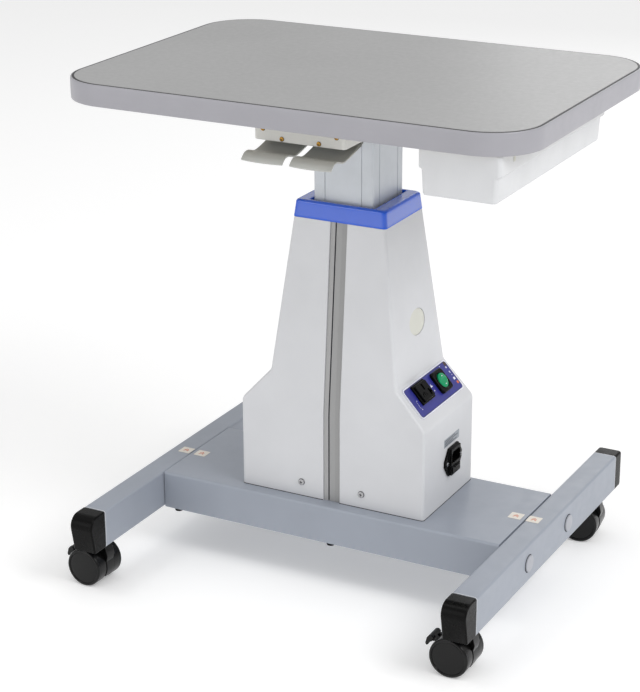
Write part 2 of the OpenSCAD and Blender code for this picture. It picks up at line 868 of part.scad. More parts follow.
// ---- Switch housing and paddles ----

module switch_housing() {
    rear = housing_front + housing_d;
    half = housing_w / 2;
    color(white_plastic) difference() {
        translate([housing_x, (housing_front + rear) / 2, housing_z])
            rounded_block(housing_w, housing_d, housing_h, 4);
        translate([housing_x, (housing_front + rear) / 2, housing_z - 1])
            rounded_block(housing_w - 2 * housing_wall, housing_d - 2 * housing_wall,
                          housing_h - housing_wall + 1, 2.5);
        translate([housing_x, pin_y, pin_z]) rod_x(pin_r + fit, -half - 5, half + 5);
        for (x = [-40, 40], y = [18, 52]) translate([housing_x + x, housing_front + y, top_under - 5])
            cylinder(r = 2 + fit, h = 10);
        for (p = housing_screw_places) translate([p[0], housing_front, p[1]]) rod_y(1.5 + fit, -1, 5);
    }
}

housing_screw_places = [[-41.6, 612.7], [54.4, 612.7], [-16.7, 602.8], [31.6, 602.8]];

module housing_screws() {
    color([0.75, 0.6, 0.3]) {
        for (p = housing_screw_places) translate([p[0], housing_front, p[1]]) {
            rod_y(1.5, -eps, 8);
            rod_y(2.8, -1.8, 0);
        }
        for (x = [-40, 40], y = [18, 52])
            translate([housing_x + x, housing_front + y, top_under - housing_wall]) {
                translate([0, 0, -1.8]) cylinder(r = 3.5, h = 1.8);
                cylinder(r = 2, h = 13);
            }
    }
}

module paddle_pin() {
    half = housing_w / 2;
    color(steel) translate([housing_x, pin_y, pin_z]) rod_x(pin_r, -half, half);
}

module micro_switches() {
    color([0.15, 0.15, 0.17]) for (side = [-1, 1])
        translate([housing_x + side * (paddle_w + paddle_gap) / 2, 0, 0]) {
            block([-10, pin_y + 6, pin_z + 9], [10, pin_y + 17, top_under - housing_wall]);
            block([-2, pin_y + 9, pin_z + 1.4], [2, pin_y + 12, pin_z + 10]);
        }
}

// Upper line of a paddle from the side: tail, slope, hollow, hump and lip
paddle_line = [
    [tail_y, pin_z], [pin_y, pin_z - 3.9], [-120, 596], [-140, 590.3], [-155, 586.8],
    [-161, 585.9], [-166, 586], [-172, 587.6], [-178, 589.2], [-184, 589.9],
    [-189, 589.2], [-193, 587.3], [-196, 584.9], [-198, 582.6]
];

module paddle_side_outline() {
    n = len(paddle_line) - 1;
    polygon(concat(
        paddle_line,
        [for (i = [n:-1:0]) paddle_line[i] + paddle_normal(i) * paddle_t]
    ));
}

// Unit vector into the paddle's underside at point i of its upper line
function paddle_normal(i) =
    let (
        a = paddle_line[max(i - 1, 0)],
        b = paddle_line[min(i + 1, len(paddle_line) - 1)],
        d = (b - a) / norm(b - a)
    ) [-d[1], d[0]] * (d[0] < 0 ? 1 : -1);

// The lip's front edge is a shallow arc, seen from above
module paddle_plan() {
    r = 150;
    front = -199;
    intersection() {
        translate([-paddle_w / 2, front - 10]) square([paddle_w, 140]);
        translate([0, front + r]) circle(r, $fn = 180);
    }
}

// The tail is narrower, so that it goes into the housing
module paddle(side) {
    x = housing_x + side * (paddle_w + paddle_gap) / 2;
    tail_w = paddle_w - 8;
    color(grey_plastic) translate([x, 0, 0]) difference() {
        union() {
            intersection() {
                along_x(-paddle_w / 2, paddle_w / 2) paddle_side_outline();
                translate([0, 0, paddle_from]) linear_extrude(paddle_to - paddle_from) paddle_plan();
            }
            translate([0, pin_y, pin_z]) rod_x(4.2, -tail_w / 2, tail_w / 2);
        }
        translate([0, pin_y, pin_z]) rod_x(pin_r + fit, -40, 40);
        for (cut = [-1, 1]) translate([cut * (tail_w + 20) / 2, pin_y + 6, pin_z - 6])
            cube([20, 22, 30], center = true);
    }
}

module up_paddle() { paddle(-1); }
module down_paddle() { paddle(1); }

// ---- Casters ----
// A caster's own frame: the stem on its Z axis, the wheels behind it at -X, the axle along Y

module caster_frame(i) {
    translate([casters[i][0], casters[i][1], 0]) rotate([0, 0, casters[i][2]]) children();
}

// A point at a distance and an angle from the axle, in the caster's X and Z
function round_axle(r, angle) = [r * cos(angle) - caster_trail, r * sin(angle) + wheel_d / 2];

// Outline of the hood from the side: an arc over the wheels and a flat boss round the stem
module hood_outline() {
    r = wheel_d / 2 + 0.6;
    steps = 24;
    polygon(concat(
        [round_axle(0, 0)],
        [for (k = [0:steps]) round_axle(r, hood_from + (hood_to - hood_from) * k / steps)]
    ));
    translate(round_axle(0, 0)) circle(9);
    polygon([[-13, 30], [-13, 50], [-9, hood_top], [4, hood_top], [7, 49], [9, 40], [7, 30]]);
}

// Outline of the lug that carries the brake lever's pin
module lug_outline() {
    r = wheel_d / 2 - 2;
    polygon([
        round_axle(8, hood_to - 8), round_axle(r, hood_to - 8), round_axle(r, hood_to),
        lever_pivot + [1, 4.2], lever_pivot - [4.2, 0], lever_pivot - [1, 4.2],
        round_axle(8, hood_to + 20)
    ]);
    translate(lever_pivot) circle(4.2);
}

module caster_body(i, braked) {
    color(black_plastic) caster_frame(i) difference() {
        union() {
            along_y(-hood_w / 2, hood_w / 2) hood_outline();
            if (braked) along_y(-lug_w / 2, lug_w / 2) lug_outline();
            translate([0, 0, hood_top - 8]) cylinder(r = stem_r, h = stem_h + 8);
        }
        translate([-caster_trail, 0, wheel_d / 2]) rod_y(axle_r + fit, -20, 20);
        if (braked) translate([lever_pivot[0], 0, lever_pivot[1]]) rod_y(pin_r - 0.5 + fit, -20, 20);
    }
}

// Half section of a wheel: a tread with a rounded edge and a slightly sunk hub disc
module wheel_outline() {
    r = wheel_d / 2;
    square([r - 3, wheel_w - 0.8]);
    translate([19, 0]) square([r - 3 - 19, wheel_w]);
    translate([0, 0]) square([r, wheel_w - 3]);
    translate([r - 3, wheel_w - 3]) circle(3);
}

module wheel(side) {
    translate([-caster_trail, side * (caster_w / 2 - wheel_w), wheel_d / 2])
        rotate([side > 0 ? -90 : 90, 0, 0]) rotate_extrude($fn = 96) wheel_outline();
}

module caster_wheels(i) {
    color([0.16, 0.16, 0.15]) caster_frame(i) {
        wheel(1);
        wheel(-1);
        translate([-caster_trail, 0, wheel_d / 2]) rod_y(axle_r, -caster_w / 2 + 2, caster_w / 2 - 2);
    }
}

// Foot lever: two cheeks between the wheels, a pin through the lug, and a broad tab outside the wheels
module brake_lever(i) {
    cheek = [
        round_axle(21, 146), round_axle(28, 147), round_axle(33, 148),
        round_axle(33, 163), round_axle(28, 163)
    ];
    tab = [
        round_axle(28.5, 149), round_axle(33, 147.5), round_axle(35.6, 152), round_axle(36.6, 159),
        round_axle(36.4, 171), round_axle(34.6, 175), round_axle(32.6, 173), round_axle(31.4, 166),
        round_axle(28.5, 160)
    ];
    color([0.2, 0.2, 0.2]) caster_frame(i) {
        difference() {
            along_y(-hood_w / 2 + 0.2, hood_w / 2 - 0.2) {
                polygon(cheek);
                translate(lever_pivot) circle(3.9);
            }
            along_y(-lug_w / 2 - 0.2, lug_w / 2 + 0.2) translate(lever_pivot) circle(9);
        }
        along_y(-11, 11) polygon(tab);
        translate([lever_pivot[0], 0, lever_pivot[1]]) rod_y(pin_r - 0.5, -hood_w / 2 + 1, hood_w / 2 - 1);
    }
}

module caster_body_front_left() { caster_body(0, true); }
module caster_body_front_right() { caster_body(1, true); }
module caster_body_rear_left() { caster_body(2, false); }
module caster_body_rear_right() { caster_body(3, false); }
module caster_wheels_front_left() { caster_wheels(0); }
module caster_wheels_front_right() { caster_wheels(1); }
module caster_wheels_rear_left() { caster_wheels(2); }
module caster_wheels_rear_right() { caster_wheels(3); }
module brake_lever_front_left() { brake_lever(0); }
module brake_lever_front_right() { brake_lever(1); }

base_channel();
left_rail();
right_rail();
rail_front_caps();
rail_rear_caps();
rail_bolt_plugs();
rail_bolts();
caster_sockets();
channel_feet();
seam_labels();
column_foot();
foot_bolts();
outer_column();
column_glides();
gear_motor();
screw_bearing();
control_box();
left_cover();
right_cover();
front_strip();
rear_strip();
collar();
cover_screws();
side_plug();
control_panel();
outlet_socket();
rocker_frame();
rocker_button();
mains_inlet();
fuse_drawer();
rating_label();
lead_screw();
inner_column();
drive_nut();
guide_pads();
top_bracket();
bracket_screws();
table_board();
laminate_top();
edge_band();
drawer_runners();
drawer();
switch_housing();
housing_screws();
paddle_pin();
micro_switches();
up_paddle();
down_paddle();
caster_body_front_left();
caster_wheels_front_left();
brake_lever_front_left();
caster_body_front_right();
caster_wheels_front_right();
brake_lever_front_right();
caster_body_rear_left();
caster_wheels_rear_left();
caster_body_rear_right();
caster_wheels_rear_right();
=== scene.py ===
"""An electric instrument lift table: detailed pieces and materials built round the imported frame.

Shapes are worked out in millimetres, like the part itself. make_piece() turns them into metres.
"""
import json
import math

import bmesh
import bpy
from mathutils import Matrix, Vector


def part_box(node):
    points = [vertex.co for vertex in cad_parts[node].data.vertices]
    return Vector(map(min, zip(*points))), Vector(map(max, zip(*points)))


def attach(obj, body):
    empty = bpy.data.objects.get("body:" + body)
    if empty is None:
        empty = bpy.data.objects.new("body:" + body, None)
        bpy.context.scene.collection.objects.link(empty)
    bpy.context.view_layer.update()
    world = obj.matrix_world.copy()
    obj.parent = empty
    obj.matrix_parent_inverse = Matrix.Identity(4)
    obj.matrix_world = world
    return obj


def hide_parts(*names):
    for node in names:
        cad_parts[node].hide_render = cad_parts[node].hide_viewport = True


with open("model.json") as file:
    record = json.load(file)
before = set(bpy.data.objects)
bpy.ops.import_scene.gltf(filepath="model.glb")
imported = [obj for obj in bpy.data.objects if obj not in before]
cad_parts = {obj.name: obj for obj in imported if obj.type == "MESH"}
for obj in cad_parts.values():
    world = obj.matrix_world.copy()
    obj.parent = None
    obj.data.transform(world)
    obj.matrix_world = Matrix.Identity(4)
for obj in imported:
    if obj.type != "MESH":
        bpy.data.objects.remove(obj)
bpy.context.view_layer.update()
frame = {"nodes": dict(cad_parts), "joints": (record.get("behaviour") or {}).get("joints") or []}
nodes = frame["nodes"]
joints = {joint["name"]: joint for joint in frame["joints"]}
MM = 0.001


def box(node):
    """Lowest and highest corner of a CAD node, in millimetres."""
    low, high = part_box(node)
    return low / MM, high / MM


# ---------------------------------------------------------------- camera

def make_camera():
    """The camera that looks at the table from the front right and a little above."""
    place = Vector((1.1007, -2.1835, 1.2077))
    forward = Vector((-0.43793, 0.82853, -0.34894)).normalized()
    down = Vector((0.16040, -0.30990, -0.93714)).normalized()
    right = down.cross(forward).normalized()
    up = right.cross(forward).normalized()
    camera = bpy.data.objects.new("camera", bpy.data.cameras.new("camera"))
    camera.data.lens = 107.05
    camera.data.sensor_width = 36.0
    camera.data.clip_end = 50.0
    camera.matrix_world = Matrix((
        (right.x, up.x, -forward.x, place.x),
        (right.y, up.y, -forward.y, place.y),
        (right.z, up.z, -forward.z, place.z),
        (0.0, 0.0, 0.0, 1.0),
    ))
    bpy.context.scene.collection.objects.link(camera)
    bpy.context.scene.camera = camera


make_camera()


# ---------------------------------------------------------------- outlines and placing

def arc(centre, radius, start, end, steps):
    """Points along an arc, with angles in degrees."""
    angles = [math.radians(start + (end - start) * k / steps) for k in range(steps + 1)]
    return [(centre[0] + radius * math.cos(a), centre[1] + radius * math.sin(a)) for a in angles]


def rounded_rect(width, depth, radius, steps=6, centre=(0.0, 0.0)):
    """Outline of a rectangle with round corners."""
    x, y = width / 2 - radius, depth / 2 - radius
    points = []
    for corner, (sx, sy) in enumerate(((1, 1), (-1, 1), (-1, -1), (1, -1))):
        points += arc((centre[0] + sx * x, centre[1] + sy * y), radius, 90 * corner, 90 * corner + 90, steps)
    return points


def circle(radius, steps=32, centre=(0.0, 0.0)):
    return arc(centre, radius, 0, 360 * (steps - 1) / steps, steps - 1)


def rounded_path(points, radii, steps=6):
    """An open line through the points, each inner corner rounded by its radius."""
    path = [Vector(points[0])]
    for before, corner, after, radius in zip(points, points[1:], points[2:], radii):
        corner = Vector(corner)
        a = (Vector(before) - corner).normalized()
        b = (Vector(after) - corner).normalized()
        half = a.angle(b) / 2
        reach = radius / math.tan(half)
        middle = corner + (a + b).normalized() * radius / math.sin(half)
        start = corner + a * reach - middle
        end = corner + b * reach - middle
        for k in range(steps + 1):
            path.append(middle + start.lerp(end, k / steps).normalized() * radius)
    path.append(Vector(points[-1]))
    return path


def quarter_oval(centre, width, height, steps):
    """Points over a quarter of an oval, from its side to its top."""
    return [(centre[0] + width * x, centre[1] + height * y) for x, y in arc((0, 0), 1.0, 0, 90, steps)]


def oval(half_width, half_height, steps=64):
    return [(half_width * x, half_height * y) for x, y in circle(1.0, steps)]


def at_z(outline, z):
    return [Vector((x, y, z)) for x, y in outline]


def at_x(outline, x):
    """The outline's points are (y, z)."""
    return [Vector((x, y, z)) for y, z in outline]


def at_y(outline, y):
    """The outline's points are (x, z)."""
    return [Vector((x, y, z)) for x, z in outline]


def frame_matrix(origin, x_axis, y_axis):
    """The matrix that takes local x, y and their normal to the given axes."""
    x_axis, y_axis = Vector(x_axis).normalized(), Vector(y_axis).normalized()
    z_axis = x_axis.cross(y_axis)
    matrix = Matrix((x_axis, y_axis, z_axis)).transposed().to_4x4()
    matrix.translation = Vector(origin)
    return matrix


# ---------------------------------------------------------------- mesh building

def loft(rings, caps=True, loop=False, open_rings=False):
    """A new bmesh: faces between rings of equally many points. With loop, the last ring joins the first."""
    bm = bmesh.new()
    rows = [[bm.verts.new(point) for point in ring] for ring in rings]
    pairs = list(zip(rows, rows[1:]))
    if loop:
        pairs.append((rows[-1], rows[0]))
    count = len(rows[0])
    for a, b in pairs:
        for i in range(count - 1 if open_rings else count):
            j = (i + 1) % count
            bm.faces.new((a[i], a[j], b[j], b[i]))
    if caps and not loop and not open_rings:
        bm.faces.new(rows[0][::-1])
        bm.faces.new(rows[-1])
    return bm


def prism(outline, place, low, high):
    """A new bmesh: the outline drawn out between two places."""
    return loft([place(outline, low), place(outline, high)])


def tube(outer, inner, place, low, high):
    """A new bmesh: the space between two outlines, drawn out between two places."""
    return loft([place(outer, low), place(outer, high), place(inner, high), place(inner, low)], loop=True)


def block(low, high):
    """A new bmesh: a box between two corners."""
    outline = [(low[0], low[1]), (high[0], low[1]), (high[0], high[1]), (low[0], high[1])]
    return prism(outline, at_z, low[2], high[2])


def lathe(profile, steps=48, loop=False):
    """A new bmesh: a profile of (radius, height) points turned about Z. Ends on the axis close."""
    bm = bmesh.new()
    rows = []
    for radius, height in profile:
        if radius < 1e-6:
            rows.append([bm.verts.new((0, 0, height))])
        else:
            rows.append([bm.verts.new((x, y, height)) for x, y in circle(radius, steps)])
    pairs = list(zip(rows, rows[1:]))
    if loop:
        pairs.append((rows[-1], rows[0]))
    for a, b in pairs:
        for i in range(steps):
            j = (i + 1) % steps
            if len(a) == 1 and len(b) > 1:
                bm.faces.new((a[0], b[j], b[i]))
            elif len(b) == 1 and len(a) > 1:
                bm.faces.new((a[i], a[j], b[0]))
            elif len(a) > 1:
                bm.faces.new((a[i], a[j], b[j], b[i]))
    return bm


def moved(bm, matrix):
    bm.transform(matrix)
    return bm


def shifted(bm, x=0.0, y=0.0, z=0.0):
    return moved(bm, Matrix.Translation((x, y, z)))


def joined(*parts):
    """One bmesh that holds all parts."""
    whole = bmesh.new()
    for part in parts:
        mesh = bpy.data.meshes.new("join")
        part.to_mesh(mesh)
        part.free()
        whole.from_mesh(mesh)
        bpy.data.meshes.remove(mesh)
    return whole


def helper_object(bm, name):
    """A plain object in the scene that holds a bmesh, which is used up."""
    mesh = bpy.data.meshes.new(name)
    bmesh.ops.recalc_face_normals(bm, faces=bm.faces)
    bm.to_mesh(mesh)
    bm.free()
    obj = bpy.data.objects.new(name, mesh)
    bpy.context.scene.collection.objects.link(obj)
    return obj


def carved(bm, *cutters, union=False):
    """bm without the cutters' volumes, or joined with them. The cutters are used up."""
    body = helper_object(bm, "carve_body")
    tools = [helper_object(cutter, "carve_tool") for cutter in cutters]
    for tool in tools:
        modifier = body.modifiers.new("carve", "BOOLEAN")
        modifier.operation = "UNION" if union else "DIFFERENCE"
        modifier.solver = "EXACT"
        modifier.object = tool
    graph = bpy.context.evaluated_depsgraph_get()
    mesh = bpy.data.meshes.new_from_object(body.evaluated_get(graph))
    result = bmesh.new()
    result.from_mesh(mesh)
    for obj in [body, *tools]:
        data = obj.data
        bpy.data.objects.remove(obj)
        bpy.data.meshes.remove(data)
    bpy.data.meshes.remove(mesh)
    bmesh.ops.remove_doubles(result, verts=result.verts, dist=0.005)
    bmesh.ops.dissolve_limit(result, angle_limit=math.radians(0.05), verts=result.verts, edges=result.edges)
    return result


def soften(bm, width, segments=3, angle=24, where=None):
    """Rounds the edges that fold more than angle degrees."""
    bmesh.ops.recalc_face_normals(bm, faces=bm.faces)
    edges = []
    for edge in bm.edges:
        if len(edge.link_faces) == 2 and edge.calc_face_angle(0.0) > math.radians(angle):
            if where is None or where(edge):
                edges.append(edge)
    bmesh.ops.bevel(
        bm, geom=edges, offset=width, offset_type="OFFSET", segments=segments, profile=0.5,
        affect="EDGES", clamp_overlap=True,
    )
    return bm


def make_piece(name, bm, body, material, replaces=(), smooth=38):
    """Turns a bmesh into a piece, in metres, that rides on a body."""
    bmesh.ops.recalc_face_normals(bm, faces=bm.faces)
    bm.transform(Matrix.Scale(MM, 4))
    mesh = bpy.data.meshes.new(name)
    bm.to_mesh(mesh)
    bm.free()
    for polygon in mesh.polygons:
        polygon.use_smooth = True
    mesh.set_sharp_from_angle(angle=math.radians(smooth))
    obj = bpy.data.objects.new(name, mesh)
    bpy.context.scene.collection.objects.link(obj)
    modifier = obj.modifiers.new("even_normals", "WEIGHTED_NORMAL")
    modifier.keep_sharp = True
    mesh.materials.append(material)
    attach(obj, body)
    if replaces:
        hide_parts(*replaces)
    return obj


# ---------------------------------------------------------------- materials

class Graph:
    """A material's node graph, with short calls to add and link nodes."""

    def __init__(self, name):
        self.material = bpy.data.materials.new(name)
        self.material.use_nodes = True
        self.tree = self.material.node_tree
        self.tree.nodes.clear()
        self.shader = self.add("ShaderNodeBsdfPrincipled")
        output = self.add("ShaderNodeOutputMaterial")
        self.link(self.shader, "BSDF", output, "Surface")
        self.place = self.add("ShaderNodeTexCoord")

    def add(self, kind, **settings):
        node = self.tree.nodes.new(kind)
        for key, value in settings.items():
            setattr(node, key, value)
        return node

    def link(self, a, out, b, into):
        self.tree.links.new(a.outputs[out], b.inputs[into])

    def texture(self, kind, size, stretch):
        """A texture with features about size millimetres across, on the object's own coordinates."""
        mapping = self.add("ShaderNodeMapping")
        mapping.inputs["Scale"].default_value = stretch
        self.link(self.place, "Object", mapping, "Vector")
        node = self.add(kind)
        node.inputs["Scale"].default_value = 1.0 / (size * MM)
        self.link(mapping, "Vector", node, "Vector")
        return node

    def noise(self, size, detail=3.0, rough=0.5, stretch=(1, 1, 1), distort=0.0):
        node = self.texture("ShaderNodeTexNoise", size, stretch)
        for key, value in (("Detail", detail), ("Roughness", rough), ("Distortion", distort)):
            node.inputs[key].default_value = value
        return node

    def cells(self, size, stretch=(1, 1, 1)):
        return self.texture("ShaderNodeTexVoronoi", size, stretch)

    def tones(self, source, colour, dark, light, start=0.3, out="Fac"):
        """Shades of a colour, from dark at start to light at 1 - start of a source's value."""
        node = self.add("ShaderNodeValToRGB")
        ends = ((start, dark), (1.0 - start, light))
        for element, (position, factor) in zip(node.color_ramp.elements, ends):
            element.position = position
            element.color = (*shade(colour, factor), 1.0)
        self.link(source, out, node, "Fac")
        return (node, "Color")

    def product(self, a, b):
        """The results of two range nodes, multiplied."""
        node = self.add("ShaderNodeMath", operation="MULTIPLY")
        self.link(a, "Result", node, 0)
        self.link(b, "Result", node, 1)
        return (node, "Value")

    def spread(self, source, out, low, high, from_low=0.3, from_high=0.7):
        """Maps a grey value to a range."""
        node = self.add("ShaderNodeMapRange")
        node.inputs["From Min"].default_value = from_low
        node.inputs["From Max"].default_value = from_high
        node.inputs["To Min"].default_value = low
        node.inputs["To Max"].default_value = high
        self.link(source, out, node, "Value")
        return node

    def mix(self, factor, a, b, blend="MIX"):
        """Mixes two colours. factor, a and b are (node, output) pairs, numbers or colours."""
        node = self.add("ShaderNodeMix", data_type="RGBA", blend_type=blend)
        for socket, value in ((node.inputs[0], factor), (node.inputs[6], a), (node.inputs[7], b)):
            if isinstance(value, tuple) and hasattr(value[0], "outputs"):
                self.tree.links.new(value[0].outputs[value[1]], socket)
            elif isinstance(value, (int, float)):
                socket.default_value = value
            else:
                socket.default_value = (*value, 1.0)
        return (node, 2)

    def bump(self, layers):
        """Stacks bump layers. Each is (node, output, height in millimetres, strength)."""
        previous = None
        for source, out, height, strength in layers:
            node = self.add("ShaderNodeBump")
            node.inputs["Distance"].default_value = height * MM
            node.inputs["Strength"].default_value = strength
            self.link(source, out, node, "Height")
            if previous is not None:
                self.link(previous, "Normal", node, "Normal")
            previous = node
        self.link(previous, "Normal", self.shader, "Normal")

    def colour(self, pair):
        self.tree.links.new(pair[0].outputs[pair[1]], self.shader.inputs["Base Color"])

    def roughness(self, node, out="Result"):
        self.link(node, out, self.shader, "Roughness")

    def set(self, **values):
        for key, value in values.items():
            self.shader.inputs[key.replace("_", " ")].default_value = value


def linear(r, g, b):
    """A colour given as on a screen, 0 to 255, in linear light."""
    def channel(v):
        v /= 255.0
        return v / 12.92 if v <= 0.04045 else ((v + 0.055) / 1.055) ** 2.4
    return (channel(r), channel(g), channel(b))


def shade(colour, factor):
    return tuple(min(1.0, c * factor) for c in colour)


def edge_mask(graph, radius, low=0.02, high=0.35):
    """White along edges and corners, where a rounded normal leaves the true one."""
    rounded = graph.add("ShaderNodeBevel", samples=4)
    rounded.inputs["Radius"].default_value = radius * MM
    geometry = graph.add("ShaderNodeNewGeometry")
    dot = graph.add("ShaderNodeVectorMath", operation="DOT_PRODUCT")
    graph.link(rounded, "Normal", dot, 0)
    graph.link(geometry, "Normal", dot, 1)
    return graph.spread(dot, "Value", 1.0, 0.0, 1.0 - high, 1.0 - low)


def powder_coat(name, colour, roughness=0.42, peel=0.035, rub=0.10, pale=0.0, edge_width=1.2):
    """Powder-coated steel: fine orange peel, faint clouding, slightly rubbed edges and, where pale is set, a
    painted highlight along every edge.

    pale is the strength of that painted edge highlight, which lies even where the edges aren't rubbed.
    """
    g = Graph(name)
    tone = g.tones(g.noise(90, detail=4), colour, 0.965, 1.03)
    flecks = g.spread(g.noise(0.9, detail=2), "Fac", 0.0, 0.06, 0.55, 0.75)
    base = g.mix((flecks, "Result"), tone, shade(colour, 0.85))
    edges = edge_mask(g, edge_width, 0.005, 0.12 if pale else 0.35)
    # painted highlight along every edge (pale), with patches of real rubbed wear (rub) on top
    edge_wear_and_highlight = g.spread(g.noise(4, detail=5, rough=0.65), "Fac", pale, pale + rub, 0.45, 0.65)
    g.colour(g.mix(g.product(edges, edge_wear_and_highlight), base, shade(colour, 1.45)))
    g.roughness(g.spread(g.noise(14, detail=3), "Fac", roughness - 0.05, roughness + 0.06))
    skin = g.noise(1.6, detail=1.5, rough=0.4)
    g.bump([(skin, "Fac", peel, 0.45), (g.noise(60, detail=2), "Fac", 0.1, 0.1)])
    g.set(Specular_IOR_Level=0.5)
    return g.material


def moulded_plastic(
    name, colour, roughness=0.45, grain=0.35, depth=0.012, coat=0.0, rub=0.12, specular=0.4, coat_ior=1.5,
    edge_coat=None, edge_width=5.0,
):
    """Moulded plastic: a spark-eroded grain, faint flow marks and polished edges.

    With edge_coat, the clear coat changes to that weight along the edges.
    """
    g = Graph(name)
    flow = g.noise(35, detail=3, stretch=(1, 1, 0.4), distort=0.6)
    tone = g.tones(flow, colour, 0.97, 1.03)
    edges = edge_mask(g, 0.9)
    scuffs = g.spread(g.noise(2.5, detail=6, rough=0.7), "Fac", 0.0, rub, 0.4, 0.65)
    polished = shade(tuple(c + 0.01 for c in colour), 1.5)
    g.colour(g.mix(g.product(edges, scuffs), tone, polished))
    g.roughness(g.spread(g.noise(9, detail=4), "Fac", roughness - 0.05, roughness + 0.05))
    g.bump([(g.noise(grain, detail=2), "Fac", depth, 0.3)])
    g.set(Coat_Weight=coat, Coat_Roughness=0.12, Coat_IOR=coat_ior, Specular_IOR_Level=specular)
    if edge_coat is not None:
        thin = g.spread(edge_mask(g, edge_width, 0.001, 0.04), "Result", coat, edge_coat, 0.0, 1.0)
        g.link(thin, "Result", g.shader, "Coat Weight")
    return g.material


def brushed_metal(name, colour, roughness=0.3, along="Z", line=0.25, metallic=1.0, depth=0.008):
    """Bare metal with fine lines along one axis."""
    stretch = {"X": (0.02, 1, 1), "Y": (1, 0.02, 1), "Z": (1, 1, 0.02), "": (1, 1, 1)}[along]
    g = Graph(name)
    lines = g.noise(line, detail=3, stretch=stretch)
    tone = g.tones(g.noise(40, detail=3), colour, 0.94, 1.04)
    line_tone = g.spread(lines, "Fac", 0.0, 0.16, 0.35, 0.7)
    g.colour(g.mix((line_tone, "Result"), tone, shade(colour, 0.72)))
    g.roughness(g.spread(lines, "Fac", roughness - 0.05, roughness + 0.1))
    g.bump([(lines, "Fac", depth, 0.5)])
    g.set(Metallic=metallic)
    return g.material


def laminate_material():
    """Light grey laminate: a very fine pearl texture over faint fibres."""
    colour = linear(158, 158, 158)
    g = Graph("laminate")
    tone = g.tones(g.noise(160, detail=5), colour, 0.975, 1.02, start=0.35)
    specks = g.spread(g.cells(0.7), "Distance", 0.14, 0.0, 0.15, 0.45)
    base = g.mix((specks, "Result"), tone, shade(colour, 0.82))
    fibres = g.noise(2.2, detail=3, stretch=(0.25, 1, 1))
    g.colour(g.mix((g.spread(fibres, "Fac", 0.0, 0.05, 0.5, 0.7), "Result"), base, shade(colour, 1.2)))
    g.roughness(g.spread(g.noise(7, detail=5), "Fac", 0.33, 0.42))
    g.bump([(g.noise(0.8, detail=2), "Fac", 0.02, 0.5), (g.noise(3.5, detail=2), "Fac", 0.03, 0.25)])
    return g.material


def edge_material():
    """Smooth grey edge band with faint drawing lines along it."""
    colour = linear(160, 159, 165)
    g = Graph("edge_band")
    lines = g.noise(1.2, detail=2, stretch=(0.05, 0.05, 1))
    tone = g.tones(g.noise(70, detail=3), colour, 0.96, 1.03)
    g.colour(g.mix((g.spread(lines, "Fac", 0.0, 0.07), "Result"), tone, shade(colour, 0.8)))
    g.roughness(g.spread(g.noise(12, detail=4), "Fac", 0.30, 0.40))
    g.bump([(lines, "Fac", 0.015, 0.4), (g.noise(0.5, detail=2), "Fac", 0.01, 0.3)])
    return g.material


def particle_board():
    """Board core with its pale backing paper."""
    colour = linear(196, 190, 178)
    g = Graph("board")
    chips = g.cells(3.2, stretch=(1, 0.45, 1))
    tone = g.tones(chips, colour, 0.88, 1.06, start=0.2, out="Color")
    fine = g.noise(0.8, detail=4)
    g.colour(g.mix((g.spread(fine, "Fac", 0.0, 0.2), "Result"), tone, shade(colour, 0.75)))
    g.roughness(g.spread(fine, "Fac", 0.6, 0.75))
    g.bump([(fine, "Fac", 0.03, 0.4), (chips, "Distance", 0.03, 0.3)])
    return g.material


def printed_film(name, colour, roughness=0.38):
    """Printed panel film: a fine screen-printed tooth and a faint sheen. Some pieces made of it are painted
    shade or painted glints, not print.
    """
    g = Graph(name)
    tone = g.tones(g.noise(18, detail=3), colour, 0.93, 1.06)
    specks = g.spread(g.cells(0.35), "Distance", 0.1, 0.0, 0.1, 0.5)
    g.colour(g.mix((specks, "Result"), tone, shade(colour, 0.8)))
    g.roughness(g.spread(g.noise(5, detail=4), "Fac", roughness - 0.05, roughness + 0.06))
    g.bump([(g.noise(0.25, detail=1), "Fac", 0.008, 0.4)])
    g.set(Coat_Weight=0.15, Coat_Roughness=0.25)
    return g.material


# The base gets a painted highlight along its edges and bends (pale), standing in for the bright line along
# the channel's bend.
BASE = powder_coat("base_powder_coat", linear(150, 156, 167), roughness=0.33, peel=0.016, rub=0.03,
                   pale=0.4, edge_width=3.0)
PLUG = moulded_plastic("plug_grey", linear(168, 170, 177), roughness=0.4, rub=0.03)
COVER = powder_coat("cover_powder_coat", linear(208, 209, 212), roughness=0.42, peel=0.02, rub=0.02)
LAMINATE = laminate_material()
EDGE = edge_material()
BOARD = particle_board()
BLACK = moulded_plastic("black_plastic", linear(8, 8, 8), roughness=0.28, depth=0.002, rub=0.02,
                        specular=0.10)
CASTER = moulded_plastic("caster_black", linear(9, 9, 9), roughness=0.22, grain=0.5, depth=0.003, rub=0.02,
                         specular=0.28)
HOUSING = moulded_plastic("housing_white", linear(218, 218, 215), roughness=0.42, rub=0.03)
DRAWER = moulded_plastic("drawer_white", linear(210, 211, 213), roughness=0.34, rub=0.02, depth=0.006)
PADDLE = moulded_plastic("paddle_grey", linear(180, 181, 177), roughness=0.36, rub=0.05)
COLLAR = moulded_plastic("collar_blue", linear(2, 84, 210), roughness=0.2, depth=0.003, coat=1.0, rub=0.02,
                         specular=0.25, coat_ior=2.0, edge_coat=0.0)
CREAM = moulded_plastic("plug_cream", linear(208, 208, 199), roughness=0.45, rub=0.03)
GREEN = moulded_plastic("rocker_green", linear(0, 142, 92), roughness=0.16, depth=0.002, rub=0.03,
                        specular=0.3)
STRIP_LIGHT = moulded_plastic("strip_light", linear(164, 164, 164), roughness=0.42, rub=0.04)
STRIP_DARK = moulded_plastic("strip_dark", linear(156, 156, 156), roughness=0.45, rub=0.04)
STRIP_LEDGE = moulded_plastic("strip_ledge", linear(150, 150, 150), roughness=0.45, rub=0.04)
